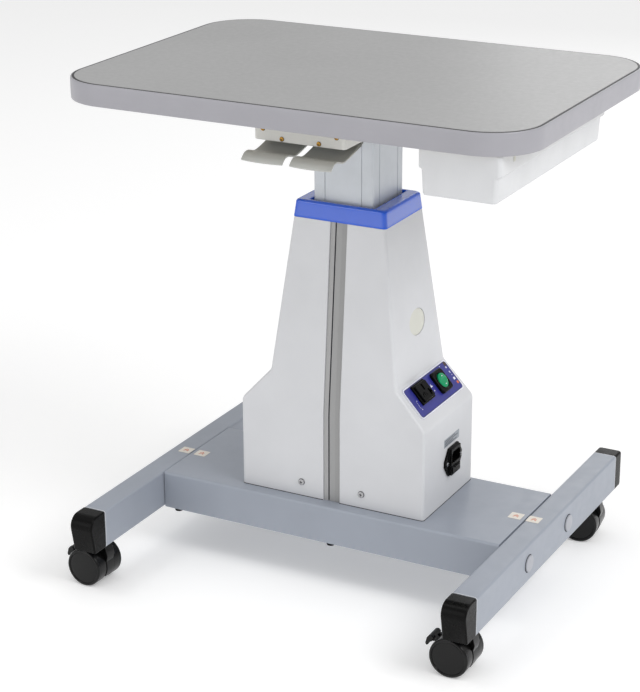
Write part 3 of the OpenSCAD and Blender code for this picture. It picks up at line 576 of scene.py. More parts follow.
# Black rubber for the bumpers; also used for painted shadow at the cover's foot and painted shade round the
# bolt plugs.
RUBBER_AND_SHADOW = moulded_plastic("rubber_black_and_painted_shadow", linear(22, 22, 22), roughness=0.7, grain=0.6, depth=0.03,
                         specular=0.2)
NYLON = moulded_plastic("slide_nylon", linear(224, 222, 210), roughness=0.5)
ANODISED = brushed_metal("anodised", linear(198, 202, 207), roughness=0.38, along="Z", metallic=0.3)
STEEL = brushed_metal("zinc_steel", linear(196, 197, 200), roughness=0.32, along="")
CHROME = brushed_metal("chrome", linear(168, 168, 170), roughness=0.16, along="", depth=0.003)
BRASS = brushed_metal("brass", linear(176, 134, 62), roughness=0.26, along="", depth=0.004)
MOTOR = powder_coat("motor_enamel", linear(92, 95, 100), roughness=0.5, peel=0.05)
INDIGO = printed_film("panel_indigo", linear(40, 42, 132))
# White for printed marks and borders; also used for painted glints on the rocker.
WHITE_PRINT_AND_GLINT = printed_film("white_print_and_painted_glint", linear(225, 226, 238))
MARK_ORANGE = printed_film("mark_orange", linear(205, 98, 40))
MARK_BROWN = printed_film("mark_brown", linear(62, 42, 34))
MARK_NAVY = printed_film("mark_navy", linear(26, 26, 84))
LABEL = printed_film("label_cream", linear(226, 219, 208))
PLATE = printed_film("plate_grey", linear(146, 153, 161))
# Dark ink for printed bars and the strip's groove; also used for painted shade in screw drives and round
# screw feet.
INK_AND_SHADE = printed_film("ink_and_painted_shade", linear(58, 61, 68))
CUT_EDGE = moulded_plastic("cut_edge", linear(206, 209, 214), roughness=0.3, rub=0.02)
# Dark for the laminate's seam: partly the real joint line, partly painted shade.
SEAM_AND_SHADE = printed_film("seam_dark_and_painted_shade", linear(38, 38, 40), roughness=0.6)

NODE_MATERIALS = {
    "rail_bolts": STEEL, "caster_sockets": STEEL, "column_foot": STEEL, "foot_bolts": STEEL,
    "screw_bearing": STEEL, "lead_screw": STEEL, "top_bracket": STEEL, "bracket_screws": STEEL,
    "drawer_runners": STEEL, "paddle_pin": STEEL, "outer_column": ANODISED, "column_glides": NYLON,
    "guide_pads": NYLON, "gear_motor": MOTOR, "control_box": MOTOR, "drive_nut": BRASS,
    "micro_switches": BLACK, "table_board": BOARD,
}
for node_name, material in NODE_MATERIALS.items():
    mesh = nodes[node_name].data
    mesh.materials.clear()
    mesh.materials.append(material)


# ---------------------------------------------------------------- tabletop

def tabletop():
    """The laminate and the slightly crowned edge band round the board, with a dark seam between them that is
    partly painted shade.
    """
    low, high = box("edge_band")
    width, depth = high.x - low.x, high.y - low.y
    centre = ((low.x + high.x) / 2, (low.y + high.y) / 2)
    corner, steps = 66.0, 28
    under, top = low.z, box("laminate_top")[1].z

    def ring(inset, z):
        return at_z(rounded_rect(width - 2 * inset, depth - 2 * inset, corner - inset, steps, centre), z)

    seam = top - 0.62
    profile = [
        (3.4, under), (1.3, under), (0.6, under + 0.3), (0.25, under + 1.0), (0.06, under + 4.0),
        (0.0, (under + top) / 2), (0.06, top - 5.0), (0.25, top - 2.0), (0.6, top - 1.1),
        (1.1, top - 0.65), (1.7, top - 0.52), (2.0, top - 0.56), (2.1, seam), (3.4, seam),
    ]
    bm = loft([ring(inset, z) for inset, z in profile], loop=True)
    make_piece("edge_band_piece", bm, "lift", EDGE, ["edge_band"], smooth=60)
    # A dark band round the laminate's edge: partly the real joint line, widened with painted shade for the
    # shadow of the band's lip.
    groove = ((2.0, seam - 0.3), (2.0, seam + 0.02), (5.4, seam + 0.05), (5.4, seam - 0.3))
    bm = loft([ring(inset, z) for inset, z in groove], loop=True)
    make_piece("laminate_seam_and_shade", bm, "lift", SEAM_AND_SHADE)
    sheet = ((5.0, top - 1.0), (5.0, top - 0.35), (5.15, top - 0.1), (5.5, top), (12.0, top))
    bm = loft([ring(inset, z) for inset, z in sheet])
    make_piece("laminate_piece", bm, "lift", LAMINATE, ["laminate_top"])


# ---------------------------------------------------------------- column and collar

def fluted_square(half, radius, flute_at, flute_w=1.4, flute_d=0.8):
    """A square with round corners and two flutes in each side."""
    taper = 0.15
    side = []
    for x in (-flute_at, flute_at):
        left, right = x - flute_w / 2, x + flute_w / 2
        floor = flute_d - half
        side += [(left, -half), (left + taper, floor), (right - taper, floor), (right, -half)]
    side += arc((half - radius, -half + radius), radius, -90, 0, 6)
    points = []
    for c, s in ((1, 0), (0, 1), (-1, 0), (0, -1)):
        points += [(x * c - y * s, x * s + y * c) for x, y in side]
    return points


def inner_column():
    """The sliding column, a tube with two flutes down each side."""
    low, high = box("inner_column")
    half = (high.x - low.x) / 2
    centre = (low + high) / 2
    wall, corner, flute_at = 3.0, 3.0, 25.0
    outer = fluted_square(half, corner, flute_at)
    inner = [(x * (half - wall) / half, y * (half - wall) / half) for x, y in outer]
    bm = shifted(tube(outer, inner, at_z, low.z, high.z), centre.x, centre.y)
    make_piece("inner_column_piece", bm, "lift", ANODISED, ["inner_column"], smooth=30)


def collar():
    """The blue collar: a flared block with a rounded rim and a hole for the column."""
    low, high = box("collar")
    centre = (low + high) / 2
    flare, gap = 2.5, 3.5
    x0, y0 = (high.x - low.x) / 2, (high.y - low.y) / 2
    column_low, column_high = box("inner_column")
    hole = (column_high.x - column_low.x) / 2 + gap
    height = high.z - low.z

    def ring(inset, z, radius):
        lean = flare * (z - low.z) / height
        return at_z(rounded_rect(2 * (x0 - lean - inset), 2 * (y0 - lean - inset), radius, 8), z)

    def hole_ring(half, z):
        return at_z(rounded_rect(2 * half, 2 * half, 3.0, 8), z)

    edge, corner, roof = 3.2, 5.0, 3.8
    rounding = [ring(edge - x, high.z - edge + y, corner) for x, y in arc((0, 0), edge, 0, 90, 6)]
    bm = loft([
        ring(2.0, low.z, 3.0), ring(0.4, low.z, 4.8), ring(0.0, low.z + 0.5, corner), *rounding,
        hole_ring(hole + 1.0, high.z), hole_ring(hole + 0.3, high.z - 0.3), hole_ring(hole, high.z - 1.0),
        hole_ring(hole, high.z - roof), ring(2.0, high.z - roof, 2.0),
    ], loop=True)
    make_piece("collar_piece", shifted(bm, centre.x, centre.y), "base", COLLAR, ["collar"],
               smooth=45)


# ---------------------------------------------------------------- cover

SHEET = 1.5
COVER_CORNER = 4.0
COVER_LOW, COVER_HIGH = box("right_cover")
COVER_Y = (COVER_LOW.y + COVER_HIGH.y) / 2
COVER_GAP = COVER_LOW.x
HALF_DEPTH_LOW = (COVER_HIGH.y - COVER_LOW.y) / 2
HALF_DEPTH_TOP = 53.5
HALF_WIDTH_LOW = COVER_HIGH.x
SHOULDER_LOW = (HALF_WIDTH_LOW, 229.0)
SHOULDER_TOP = (88.5, 273.5)
HALF_WIDTH_TOP = 63.0
SHOULDER_ANGLE = math.atan2(SHOULDER_LOW[0] - SHOULDER_TOP[0], SHOULDER_TOP[1] - SHOULDER_LOW[1])
UPPER_ANGLE = math.atan2(SHOULDER_TOP[0] - HALF_WIDTH_TOP, COVER_HIGH.z - SHOULDER_TOP[1])


def cover_half_depth(z):
    """Half the cover's depth at a height, with a soft fold where the faces begin to lean in."""
    fold = SHOULDER_LOW[1]
    slope = (HALF_DEPTH_LOW - HALF_DEPTH_TOP) / (COVER_HIGH.z - fold)
    soft = 10.0
    if z <= fold - soft:
        return HALF_DEPTH_LOW
    if z >= fold + soft:
        return HALF_DEPTH_LOW - slope * (z - fold)
    return HALF_DEPTH_LOW - slope * (z - fold + soft) ** 2 / (4 * soft)


def cover_half(name, side):
    """One half of the folded cover. side is 1 for the right half and -1 for the left one."""
    low_z, high_z = COVER_LOW.z, COVER_HIGH.z
    profile = rounded_path(
        [(HALF_WIDTH_LOW, low_z), SHOULDER_LOW, SHOULDER_TOP, (HALF_WIDTH_TOP, high_z)], [12.0, 10.0], 8,
    )
    flange, fold = 9.0, 1.2
    corner, edge = COVER_CORNER, COVER_GAP
    rings = []
    for x, z in profile:
        y = cover_half_depth(z)
        half = [(edge, -y + flange), (edge, -y + fold)]
        half += arc((edge + fold, -y + fold), fold, 180, 270, 4)[1:]
        half += arc((x - corner, -y + corner), corner, -90, 0, 8)
        ring = half + [(px, -py) for px, py in reversed(half)]
        rings.append([Vector((side * px, py + COVER_Y, z)) for px, py in ring])
    bm = loft(rings, open_rings=True)
    bmesh.ops.recalc_face_normals(bm, faces=bm.faces)
    outward = max(bm.faces, key=lambda face: face.calc_center_median().x * side)
    if outward.normal.x * side < 0:
        bmesh.ops.reverse_faces(bm, faces=bm.faces)
    bmesh.ops.solidify(bm, geom=bm.faces[:], thickness=SHEET)
    if side > 0:
        bm = carved(bm, *panel_cutters())
    make_piece(name + "_piece", bm, "base", COVER, [name], smooth=32)


def cover_foot_shadow(name, side):
    """A painted shadow: a thin dark band round the foot of one half of the cover, where it stands on the
    channel.
    """
    inner, thick = -SHEET - 0.3, 0.7
    rings = []
    for grow, z in ((inner, 0.0), (0.25, 0.0), (0.3, 0.3), (0.2, 0.6), (0.02, thick), (inner, thick)):
        x, y = HALF_WIDTH_LOW + grow, HALF_DEPTH_LOW + grow
        corner = COVER_CORNER + grow
        half = [(COVER_GAP - min(grow, 0.0), -y)] + arc((x - corner, -y + corner), corner, -90, 0, 8)
        ring = half + [(px, -py) for px, py in reversed(half)]
        rings.append([Vector((side * px, py + COVER_Y, COVER_LOW.z + z)) for px, py in ring])
    bm = loft(rings, caps=False, loop=True, open_rings=True)
    bmesh.ops.holes_fill(bm, edges=[edge for edge in bm.edges if edge.is_boundary], sides=0)
    make_piece(name, bm, "base", RUBBER_AND_SHADOW)


def on_shoulder(y, s, out=0.0):
    """Matrix of a place on the right shoulder: x runs to the rear, y up the slope, z outwards."""
    up = Vector((-math.sin(SHOULDER_ANGLE), 0, math.cos(SHOULDER_ANGLE)))
    normal = Vector((math.cos(SHOULDER_ANGLE), 0, math.sin(SHOULDER_ANGLE)))
    origin = Vector((SHOULDER_LOW[0], y, SHOULDER_LOW[1])) + up * s + normal * out
    return frame_matrix(origin, (0, 1, 0), up)


def on_side(y, z):
    """The same on the lower right side."""
    return frame_matrix((HALF_WIDTH_LOW, y, z), (0, 1, 0), (0, 0, 1))


def on_upper_side(y, z):
    """The same on the upper right side."""
    up = Vector((-math.sin(UPPER_ANGLE), 0, math.cos(UPPER_ANGLE)))
    x = SHOULDER_TOP[0] - (z - SHOULDER_TOP[1]) * math.tan(UPPER_ANGLE)
    return frame_matrix((x, y, z), (0, 1, 0), up)


PANEL_AT = (4.0, 36.1)
PANEL_SIZE = (125.0, 44.8)
PANEL_T = 1.2
PANEL_CORNER = 6.0
OUTLET_AT = (-23.0, 41.5)
ROCKER_AT = (27.0, 38.4)
INLET_AT = (11.5, 163.5)
PLUG_AT = (COVER_Y + 5.3, 341.0)
PLUG_HALF = (22.0, 16.8)
OUTLET_HOLE = (30, 24.6, 2)
ROCKER_HOLE = (25, 27, 2)
INLET_HOLE = (28, 34, 2)


def panel_cutters():
    """The openings in the right half for the outlet, the rocker, the plug and the inlet."""
    openings = [
        (rounded_rect(*OUTLET_HOLE), on_shoulder(*OUTLET_AT)),
        (rounded_rect(*ROCKER_HOLE), on_shoulder(*ROCKER_AT)),
        (oval(*PLUG_HALF), on_upper_side(*PLUG_AT)),
        (rounded_rect(*INLET_HOLE), on_side(*INLET_AT)),
    ]
    return [moved(prism(outline, at_z, -8, 8), place) for outline, place in openings]


def strip(name, front):
    """The two-tone strip between the cover's halves: a light part, a groove and a darker part."""
    side = -1 if front else 1
    half = COVER_GAP - 0.15
    groove = (-5.0, -3.5)
    ledge = 4.6
    across = [
        (-half, 2.4), (-half + 0.5, 1.8), (groove[0] - 0.4, 1.8), (groove[0], 2.2), (groove[0], 3.9),
        (groove[1], 3.9), (groove[1], 2.5), (groove[1] + 0.3, 2.2), (ledge - 0.2, 2.2), (ledge, 1.9),
        (half - 0.4, 1.8), (half, 2.4), (half, 4.6), (-half, 4.6),
    ]
    fold = [219 + 2.5 * k for k in range(9)]
    heights = [COVER_LOW.z + 0.2, 200.0, *fold, 300.0, COVER_HIGH.z - 0.2]
    bm = loft([
        [Vector((x, COVER_Y + side * (cover_half_depth(z) - depth), z)) for x, depth in across]
        for z in heights
    ])
    piece = make_piece(name + "_piece", bm, "base", STRIP_LIGHT, [name], smooth=30)
    for material in (STRIP_DARK, INK_AND_SHADE, STRIP_LEDGE):
        piece.data.materials.append(material)
    for polygon in piece.data.polygons:
        x = polygon.center.x / MM
        if groove[1] - 0.05 < x < ledge - 0.1:
            polygon.material_index = 1
        elif groove[0] - 0.05 < x <= groove[1] - 0.05:
            polygon.material_index = 2
        elif x >= ledge - 0.1:
            polygon.material_index = 3


# ---------------------------------------------------------------- screws

def cross_recess(size, depth):
    """Two crossed wedges, to carve a screw's drive."""
    def wedge(turn):
        outline = [(-size / 2, 0.5), (size / 2, 0.5), (size / 4, -depth), (-size / 4, -depth)]
        bm = prism(outline, at_y, -size / 9, size / 9)
        return moved(bm, Matrix.Rotation(turn, 4, "Z"))
    return [wedge(0), wedge(math.pi / 2)]


def pan_head(radius, height, drive, edge=0.5):
    """A pan head with a cross recess, its underside on z = 0."""
    profile = [(0, 0), (radius - 0.3, 0), (radius, 0.3)]
    profile += quarter_oval((radius - edge, height * 0.55), edge, height * 0.25, 5)
    profile += [(radius * 0.45, height * 0.95), (0, height)]
    head = lathe(profile, 32)
    cutters = [shifted(cutter, z=height) for cutter in cross_recess(drive, height * 0.7)]
    return carved(head, *cutters)


def screw_row(name, places, radius, height, drive, body, material, replaces=()):
    """Identical screw heads, each with a dark cross of painted shade in its drive and a dark line of painted
    shadow round its foot.

    places are matrices whose z axis points out of the surface.
    """
    head = pan_head(radius, height, drive)
    copies = [moved(head.copy(), place) for place in places]
    head.free()
    # painted shade in each drive and painted shadow round each foot
    long, thin, deep, shallow = drive * 0.4, drive * 0.1, height * 0.3, height * 0.62
    foot = [(radius - 0.5, -0.3), (radius + 0.35, -0.3), (radius + 0.35, 0.06), (radius - 0.5, 0.1)]
    marks = []
    for place in places:
        for turn in (0, math.pi / 2):
            bar = block((-long, -thin, deep), (long, thin, shallow))
            marks.append(moved(bar, place @ Matrix.Rotation(turn, 4, "Z")))
        marks.append(moved(lathe(foot, 36, loop=True), place))
    make_piece(name.replace("_piece", "") + "_painted_shade", joined(*marks), body, INK_AND_SHADE)
    make_piece(name, joined(*copies), body, material, replaces, smooth=40)


def facing(origin, normal):
    """A matrix at origin whose z axis is normal."""
    normal = Vector(normal).normalized()
    side = Vector((0, 0, 1)) if abs(normal.z) < 0.9 else Vector((1, 0, 0))
    x_axis = side.cross(normal).normalized()
    return frame_matrix(origin, x_axis, normal.cross(x_axis))


def cover_screws():
    """Two screws at the foot of the cover, in front and behind."""
    low, high = box("cover_screws")
    reach = 4
    x = (high.x - low.x) / 2 - reach
    z = (low.z + high.z) / 2
    places = [
        facing((sx, COVER_Y + side * HALF_DEPTH_LOW, z), (0, side, 0))
        for side in (-1, 1) for sx in (-x, x)
    ]
    screw_row("cover_screws_piece", places, 4.2, 2.2, 4.4, "base", CHROME, ["cover_screws"])


# ---------------------------------------------------------------- base

def base_channel():
    """The folded channel with its end plates."""
    low, high = box("base_channel")
    wall, bend, gap, plate = 2.5, 3.5, 0.9, 4.0

    def section(inset):
        y0, y1, top = low.y + inset, high.y - inset, high.z - inset
        r = bend - inset
        left = arc((y0 + r, top - r), r, 180, 90, 7)
        right = arc((y1 - r, top - r), r, 90, 0, 7)
        return [(y0, low.z), *left, *right, (y1, low.z)]

    outline = section(0) + section(wall)[::-1]
    shell = soften(prism(outline, at_x, low.x + gap, high.x - gap), 0.6, 2, angle=60)
    inner = section(wall)
    parts = [shell]
    for side in (-1, 1):
        x = side * (high.x - gap)
        parts.append(prism(inner, at_x, min(x, x - side * plate), max(x, x - side * plate)))
    make_piece("base_channel_piece", joined(*parts), "base", BASE, ["base_channel"], smooth=30)


TUBE_CORNER = 3.2


def rail_section(name):
    """A rail's box, its width and height, and the middle of its section."""
    low, high = box(name)
    return low, high, high.x - low.x, high.z - low.z, ((low.x + high.x) / 2, (low.z + high.z) / 2)


def rail(name):
    """One rail of the base: a rectangular tube with round corners."""
    low, high, w, h, centre = rail_section(name)
    outer = rounded_rect(w, h, TUBE_CORNER, 6, centre)
    inner = rounded_rect(w - 4, h - 4, 1.2, 6, centre)
    bm = tube(outer, inner, at_y, low.y, high.y)
    make_piece(name + "_piece", bm, "base", BASE, [name], smooth=30)


def tube_cuts():
    """The bare, bright cut edge of each tube, just behind its end caps."""
    width, proud = 0.9, 0.06
    parts = []
    for name in ("left_rail", "right_rail"):
        low, high, w, h, centre = rail_section(name)
        outer = rounded_rect(w + 2 * proud, h + 2 * proud, TUBE_CORNER, 6, centre)
        inner = rounded_rect(w - 1, h - 1, 2.7, 6, centre)
        for front, rear in ((low.y - 0.05, low.y + width), (high.y - width, high.y + 0.05)):
            parts.append(tube(outer, inner, at_y, front, rear))
    make_piece("rail_cut_edges", joined(*parts), "base", CUT_EDGE)


def front_caps():
    """Nosed end caps: flat sides, a sloping front and a large round over it."""
    low, high = box("rail_front_caps")
    rail_low, rail_high = box("right_rail")
    nose, draft = 15.0, 6.5
    seam = rail_low.y - 0.25
    outline = [(seam, low.z + 0.3), (low.y + draft + 1.5, low.z + 0.3), (low.y + draft, low.z + 1.6)]
    outline += arc((low.y + nose, high.z - nose), nose, 188, 90, 12)
    outline += [(seam, high.z)]
    parts = []
    for side in (-1, 1):
        x = side * (rail_low.x + rail_high.x) / 2
        half = (rail_high.x - rail_low.x) / 2
        cap = prism(outline, at_x, x - half, x + half)
        soften(cap, 2.0, 4, angle=40)
        plug = prism(rounded_rect(25.6, 45.6, 1, 3, (x, (low.z + high.z) / 2)), at_y, seam - 3, high.y)
        parts += [cap, plug]
    make_piece("rail_front_caps_piece", joined(*parts), "base", BLACK, ["rail_front_caps"],
               smooth=50)


def rear_caps():
    """Rear end caps with a round edge, each on a plug inside its tube."""
    low, high = box("rail_rear_caps")
    _, rail_high, w, h, (middle_x, z) = rail_section("right_rail")
    rear = rail_high.y
    stations = [
        (4.4, 1, low.y), (4.4, 1, rear + 0.1), (0.6, 3, rear + 0.25), (0.0, TUBE_CORNER, rear + 0.6),
        (0.0, TUBE_CORNER, high.y - 4.0), (1.2, 3.4, high.y - 1.6), (3.4, 3.6, high.y - 0.4),
        (6.4, 3.8, high.y),
    ]
    parts = []
    for side in (-1, 1):
        centre = (side * middle_x, z)
        bm = loft([
            at_y(rounded_rect(w - less, h - less, corner, 5, centre), y) for less, corner, y in stations
        ])
        parts.append(bm)
    make_piece("rail_rear_caps_piece", joined(*parts), "base", BLACK, ["rail_rear_caps"],
               smooth=50)


def bolt_plugs():
    """Domed plugs over the bolt holes in the rails' outer faces, each ringed by painted shade."""
    low, high = box("rail_bolt_plugs")
    z = (low.z + high.z) / 2
    radius = (high.z - low.z) / 2
    outer = box("right_rail")[1].x
    proud = high.x - outer
    rim = radius - 0.3
    profile = [(0, -5.0), (9.8, -5.0), (9.8, 0.2), (rim - 0.3, 0.2), (rim, 0.45)]
    profile += quarter_oval((rim - 1.4, proud * 0.9), 1.4, proud * 0.8, 6)
    profile += [(rim * 0.6, proud * 1.84), (rim * 0.3, proud * 1.9), (0, proud * 1.92)]
    # a dark ring round each plug: painted shade at the plug's edge
    plug_shade_ring = [(8.0, -1.0), (radius + 0.1, -1.0), (radius + 0.5, 0.1), (radius + 0.2, 0.4), (8.0, 0.4)]
    plugs, plug_shade_rings = [], []
    for side in (-1, 1):
        for y in (low.y + radius, high.y - radius):
            place = facing((side * outer, y, z), (side, 0, 0))
            plugs.append(moved(lathe(profile, 56), place))
            plug_shade_rings.append(moved(lathe(plug_shade_ring, 56, loop=True), place))
    make_piece("rail_bolt_plugs_piece", joined(*plugs), "base", PLUG, ["rail_bolt_plugs"],
               smooth=40)
    make_piece("rail_bolt_plug_shade_rings", joined(*plug_shade_rings), "base", RUBBER_AND_SHADOW)


def bumpers():
    """Rubber bumpers under the channel's front edge."""
    low, high = box("channel_feet")
    channel_low = box("base_channel")[0]
    front, under = channel_low.y, channel_low.z
    profile = [(0, -5.6), (3.8, -5.6), (5.0, -5.0), (5.4, -4.0), (5.4, 0.0), (6.4, 0.0), (6.4, 3.0), (0, 3.0)]
    half_clip, inset = 8, 9
    parts = []
    for x in (low.x + half_clip, 4.0, high.x - half_clip):
        parts.append(shifted(lathe(profile, 32), x, front + inset, under))
        clip = block((x - half_clip, front + 2.5, under), (x + half_clip, front + 5.5, under + 12))
        parts.append(soften(clip, 0.5, 2))
    make_piece("channel_feet_piece", joined(*parts), "base", RUBBER_AND_SHADOW, ["channel_feet"],
               smooth=40)


def labels():
    """Square stickers at the joints, each with two plain orange chevrons."""
    low, high = box("seam_labels")
    edge, bar_step = 17.0, 3.0
    joint_x = box("right_rail")[0].x
    arms = [(-3.4, -2.6), (0, 0.6), (3.4, -2.6), (3.4, -1.0), (0, 2.2), (-3.4, -1.0)]
    parts, marks = [], []
    for side in (-1, 1):
        for dx in (-14, 10):
            x = side * (joint_x + dx)
            y = high.y - edge / 2 if side > 0 else low.y + edge / 2
            parts.append(prism(rounded_rect(edge, edge, 1.2, 4, (x, y)), at_z, low.z + 0.01, high.z - 0.02))
            for lift in (-1.4, bar_step - 1.4):
                outline = [(x + px, y + py + lift) for px, py in arms]
                marks.append(prism(outline, at_z, high.z - 0.05, high.z + 0.03))
    make_piece("seam_labels_piece", joined(*parts), "base", LABEL, ["seam_labels"])
    make_piece("seam_label_marks", joined(*marks), "base", MARK_ORANGE)


# ---------------------------------------------------------------- control panel

def panel():
    """The indigo panel with plain generic marks."""
    place = on_shoulder(*PANEL_AT)
    film = prism(rounded_rect(*PANEL_SIZE, PANEL_CORNER, 8), at_z, 0.02, PANEL_T)
    soften(film, 0.35, 2, angle=60)
    cutters = [
        moved(prism(rounded_rect(*hole), at_z, -3, 5), place.inverted() @ on_shoulder(*middle))
        for hole, middle in ((OUTLET_HOLE, OUTLET_AT), (ROCKER_HOLE, ROCKER_AT))
    ]
    film = moved(carved(film, *cutters), place)
    piece = make_piece("control_panel_piece", film, "base", INDIGO, ["control_panel"])
    piece.data.materials.append(WHITE_PRINT_AND_GLINT)
    outward = Vector((place[0][2], place[1][2], place[2][2]))
    for polygon in piece.data.polygons:
        if polygon.normal.dot(outward) < 0.9:
            polygon.material_index = 1
    under, over = PANEL_T - 0.03, PANEL_T + 0.05

    def mark(outline, y, s):
        return moved(prism(outline, at_z, under, over), on_shoulder(y, s))

    step_line = [
        (-2.2, -1.6), (2.2, -1.6), (2.2, 0.2), (0.4, 0.2), (0.4, 2.4), (-0.9, 2.4), (-0.9, 0.2), (-2.2, 0.2),
    ]
    white = [
        mark(rounded_rect(2.6, 2.2, 0.4, 3), 58.5, 48.4),
        mark(rounded_rect(1.5, 3.2, 0.4, 3), 59.2, 41.0),
        mark(rounded_rect(4.6, 3.4, 0.5, 3), 59.0, 31.0),
        mark(circle(0.7, 12), 59.6, 36.5),
        mark(circle(0.7, 12), 47.0, 54.2),
        mark(step_line, 3.4, 40.8),
        mark(circle(0.8, 12), 3.6, 33.6),
        mark(rounded_rect(1.2, 1.2, 0.3, 3), -44.8, 37.0),
        mark(rounded_rect(1.2, 1.2, 0.3, 3), -44.8, 24.5),
        mark(rounded_rect(0.35, 9.5, 0.15, 2), -46.4, 30.8),
    ]
    make_piece("panel_marks_white", joined(*white), "base", WHITE_PRINT_AND_GLINT)
    for name, material, insets in (
        ("panel_border", WHITE_PRINT_AND_GLINT, (0.2, 1.8)), ("panel_border_line", MARK_NAVY, (1.8, 2.7)),
    ):
        outer, inner = (
            rounded_rect(PANEL_SIZE[0] - 2 * inset, PANEL_SIZE[1] - 2 * inset, PANEL_CORNER - inset, 8)
            for inset in insets
        )
        border = moved(tube(outer, inner, at_z, under, over), place)
        make_piece(name, border, "base", material)
    brown = mark(rounded_rect(5.8, 5.6, 0.8, 4), 60.6, 53.0)
    make_piece("panel_mark_brown", brown, "base", MARK_BROWN)
    orange = mark(rounded_rect(4.2, 3.8, 0.6, 4), 60.4, 24.6)
    make_piece("panel_mark_orange", orange, "base", MARK_ORANGE)


def outlet():
    """The outlet: a proud body with a chamfered step, an earth slot above, and below it a T slot and a thin
    slot in a half-round hood.
    """
    place = on_shoulder(*OUTLET_AT, PANEL_T)
    base = soften(prism(rounded_rect(33.5, 28, 1.6, 5), at_z, 0, 3.2), 0.7, 3, angle=50)
    step = soften(prism(rounded_rect(28.5, 23.5, 2.2, 6), at_z, 2.6, 6.2), 0.7, 3, angle=50)
    shaft = prism(rounded_rect(29.8, 24.3, 2, 4), at_z, -22, 0.5)
    bm = carved(base, step, shaft, union=True)

    def hole(width, height, y, s):
        return prism(rounded_rect(width, height, 0.5, 3, (y, s)), at_z, -12, 8)

    bm = carved(
        bm, hole(3.4, 8.6, 0.0, 5.4), hole(3.4, 9.0, 7.6, -4.4), hole(4.2, 3.2, 10.2, -4.4),
        prism(arc((-6.2, -6.4), 5.4, 0, 180, 20), at_z, 4.6, 8),
    )
    hood = soften(prism(arc((-6.2, -5.8), 4.2, 0, 180, 20), at_z, 4.4, 6.6), 0.6, 3, angle=50)
    hood = carved(hood, hole(1.6, 3.4, -6.2, -3.4))
    make_piece("outlet_socket_piece", moved(joined(bm, hood), place), "base", BLACK,
               ["outlet_socket"])


def rocker():
    """The switch's bezel with a round well, and the domed green rocker in it, with two painted glints on its
    dome.
    """
    place = on_shoulder(*ROCKER_AT, PANEL_T)
    well, radius, tilt, pivot = 10.8, 10.0, 7.0, 0.5
    bezel = prism(rounded_rect(29, 30.5, 5.0, 8), at_z, 0, 4.6)
    soften(bezel, 1.8, 5, angle=50, where=lambda edge: min(vert.co.z for vert in edge.verts) > 4)
    lip = [(well, 3.0), (12.4, 3.0), (12.4, 4.7), (12.0, 5.1), (11.3, 5.1), (well, 4.7)]
    ring = lathe(lip, 56, loop=True)
    shaft = prism(rounded_rect(24.8, 26.8, 2, 4), at_z, -20, 0.5)
    bezel = carved(bezel, shaft, union=True)
    bezel = carved(bezel, prism(circle(well, 56), at_z, -6, 8))
    bezel = moved(joined(bezel, ring), place)
    make_piece("rocker_frame_piece", bezel, "base", BLACK, ["rocker_frame"])

    dome, sunk = 31.0, 24.6

    def crown(r):
        return math.sqrt(dome ** 2 - r ** 2) - sunk

    radii = [radius * math.sin(math.radians(a)) for a in range(90, -1, -9)]
    profile = [(0, -3.0), (radius, -3.0), (radius, 3.9)] + [(r * 0.985, crown(r)) for r in radii]
    across = Matrix.Translation((0, 0, 14.2)) @ Matrix.Rotation(math.pi / 2, 4, "Y")
    dip = moved(lathe([(0, -9), (9, -9), (9, 9), (0, 9)], 64), across)
    seat = on_shoulder(*ROCKER_AT, PANEL_T + pivot) @ Matrix.Rotation(math.radians(tilt), 4, "X")
    button = moved(carved(lathe(profile, 56), dip), seat)
    make_piece("rocker_button_piece", button, "rocker", GREEN, ["rocker_button"], smooth=50)
    # two small white dashes on the dome: painted glints where it reflects light
    painted_glints = []
    for y in (-5.6, 5.6):
        dot = prism(rounded_rect(2.6, 1.0, 0.45, 4), at_z, crown(y) - 0.4, crown(y) + 0.08)
        painted_glints.append(shifted(dot, y=y))
    make_piece("rocker_painted_glints", moved(joined(*painted_glints), seat), "rocker", WHITE_PRINT_AND_GLINT)


# ---------------------------------------------------------------- mains inlet

def mains_inlet():
    """The inlet with its flange, pins and screws, and the fuse drawer below its mouth."""
    place = on_side(*INLET_AT)
    w, h, screw_at = 25.0, 19.0, 20
    flange_line = [(-w, -4), (-14, -h), (14, -h), (w, -4), (w, 4), (14, h), (-14, h), (-w, 4)]
    flange = prism(flange_line, at_z, 0.02, 3.0)
    raised = prism(rounded_rect(27.8, 36, 2, 4), at_z, 0.5, 6.0)
    shaft = prism(rounded_rect(27.8, 33.8, 2, 4), at_z, -24, 1.0)
    bm = carved(flange, raised, shaft, union=True)
    bm = soften(bm, 0.6, 3, angle=50)
    cavity = [(-12.6, -1.5), (12.6, -1.5), (12.6, 10), (8.6, 14), (-8.6, 14), (-12.6, 10)]
    cutters = [
        prism(cavity, at_z, -12, 9),
        block((-11.6, -15.6, -20), (11.6, -6.4, 9)),
        *[prism(circle(1.9, 20, (x, 0)), at_z, -2, 6) for x in (-screw_at, screw_at)],
    ]
    bm = carved(bm, *cutters)
    make_piece("mains_inlet_piece", moved(bm, place), "base", BLACK, ["mains_inlet"])
    pins = []
    for x, low in ((-7, 1), (0, 5), (7, 1)):
        pins.append(soften(block((x - 1, low, -12.2), (x + 1, low + 4, -3)), 0.4, 2))
    make_piece("inlet_pins", moved(joined(*pins), place), "base", BRASS)
    screws = [place @ Matrix.Translation((x, 0, 3.0)) for x in (-screw_at, screw_at)]
    screw_row("inlet_screws", screws, 2.6, 1.3, 2.8, "base", CHROME)

    body = soften(prism(rounded_rect(23, 9, 0.8, 4), at_z, -19, 7), 0.5, 3, angle=50)
    grip = soften(block((-6, 2.3, 6.6), (6, 3.9, 8.2)), 0.4, 2)
    fuse = moved(joined(body, grip), place @ Matrix.Translation((0, -11, 0)))
    make_piece("fuse_drawer_piece", fuse, "fuse_drawer", BLACK, ["fuse_drawer"])


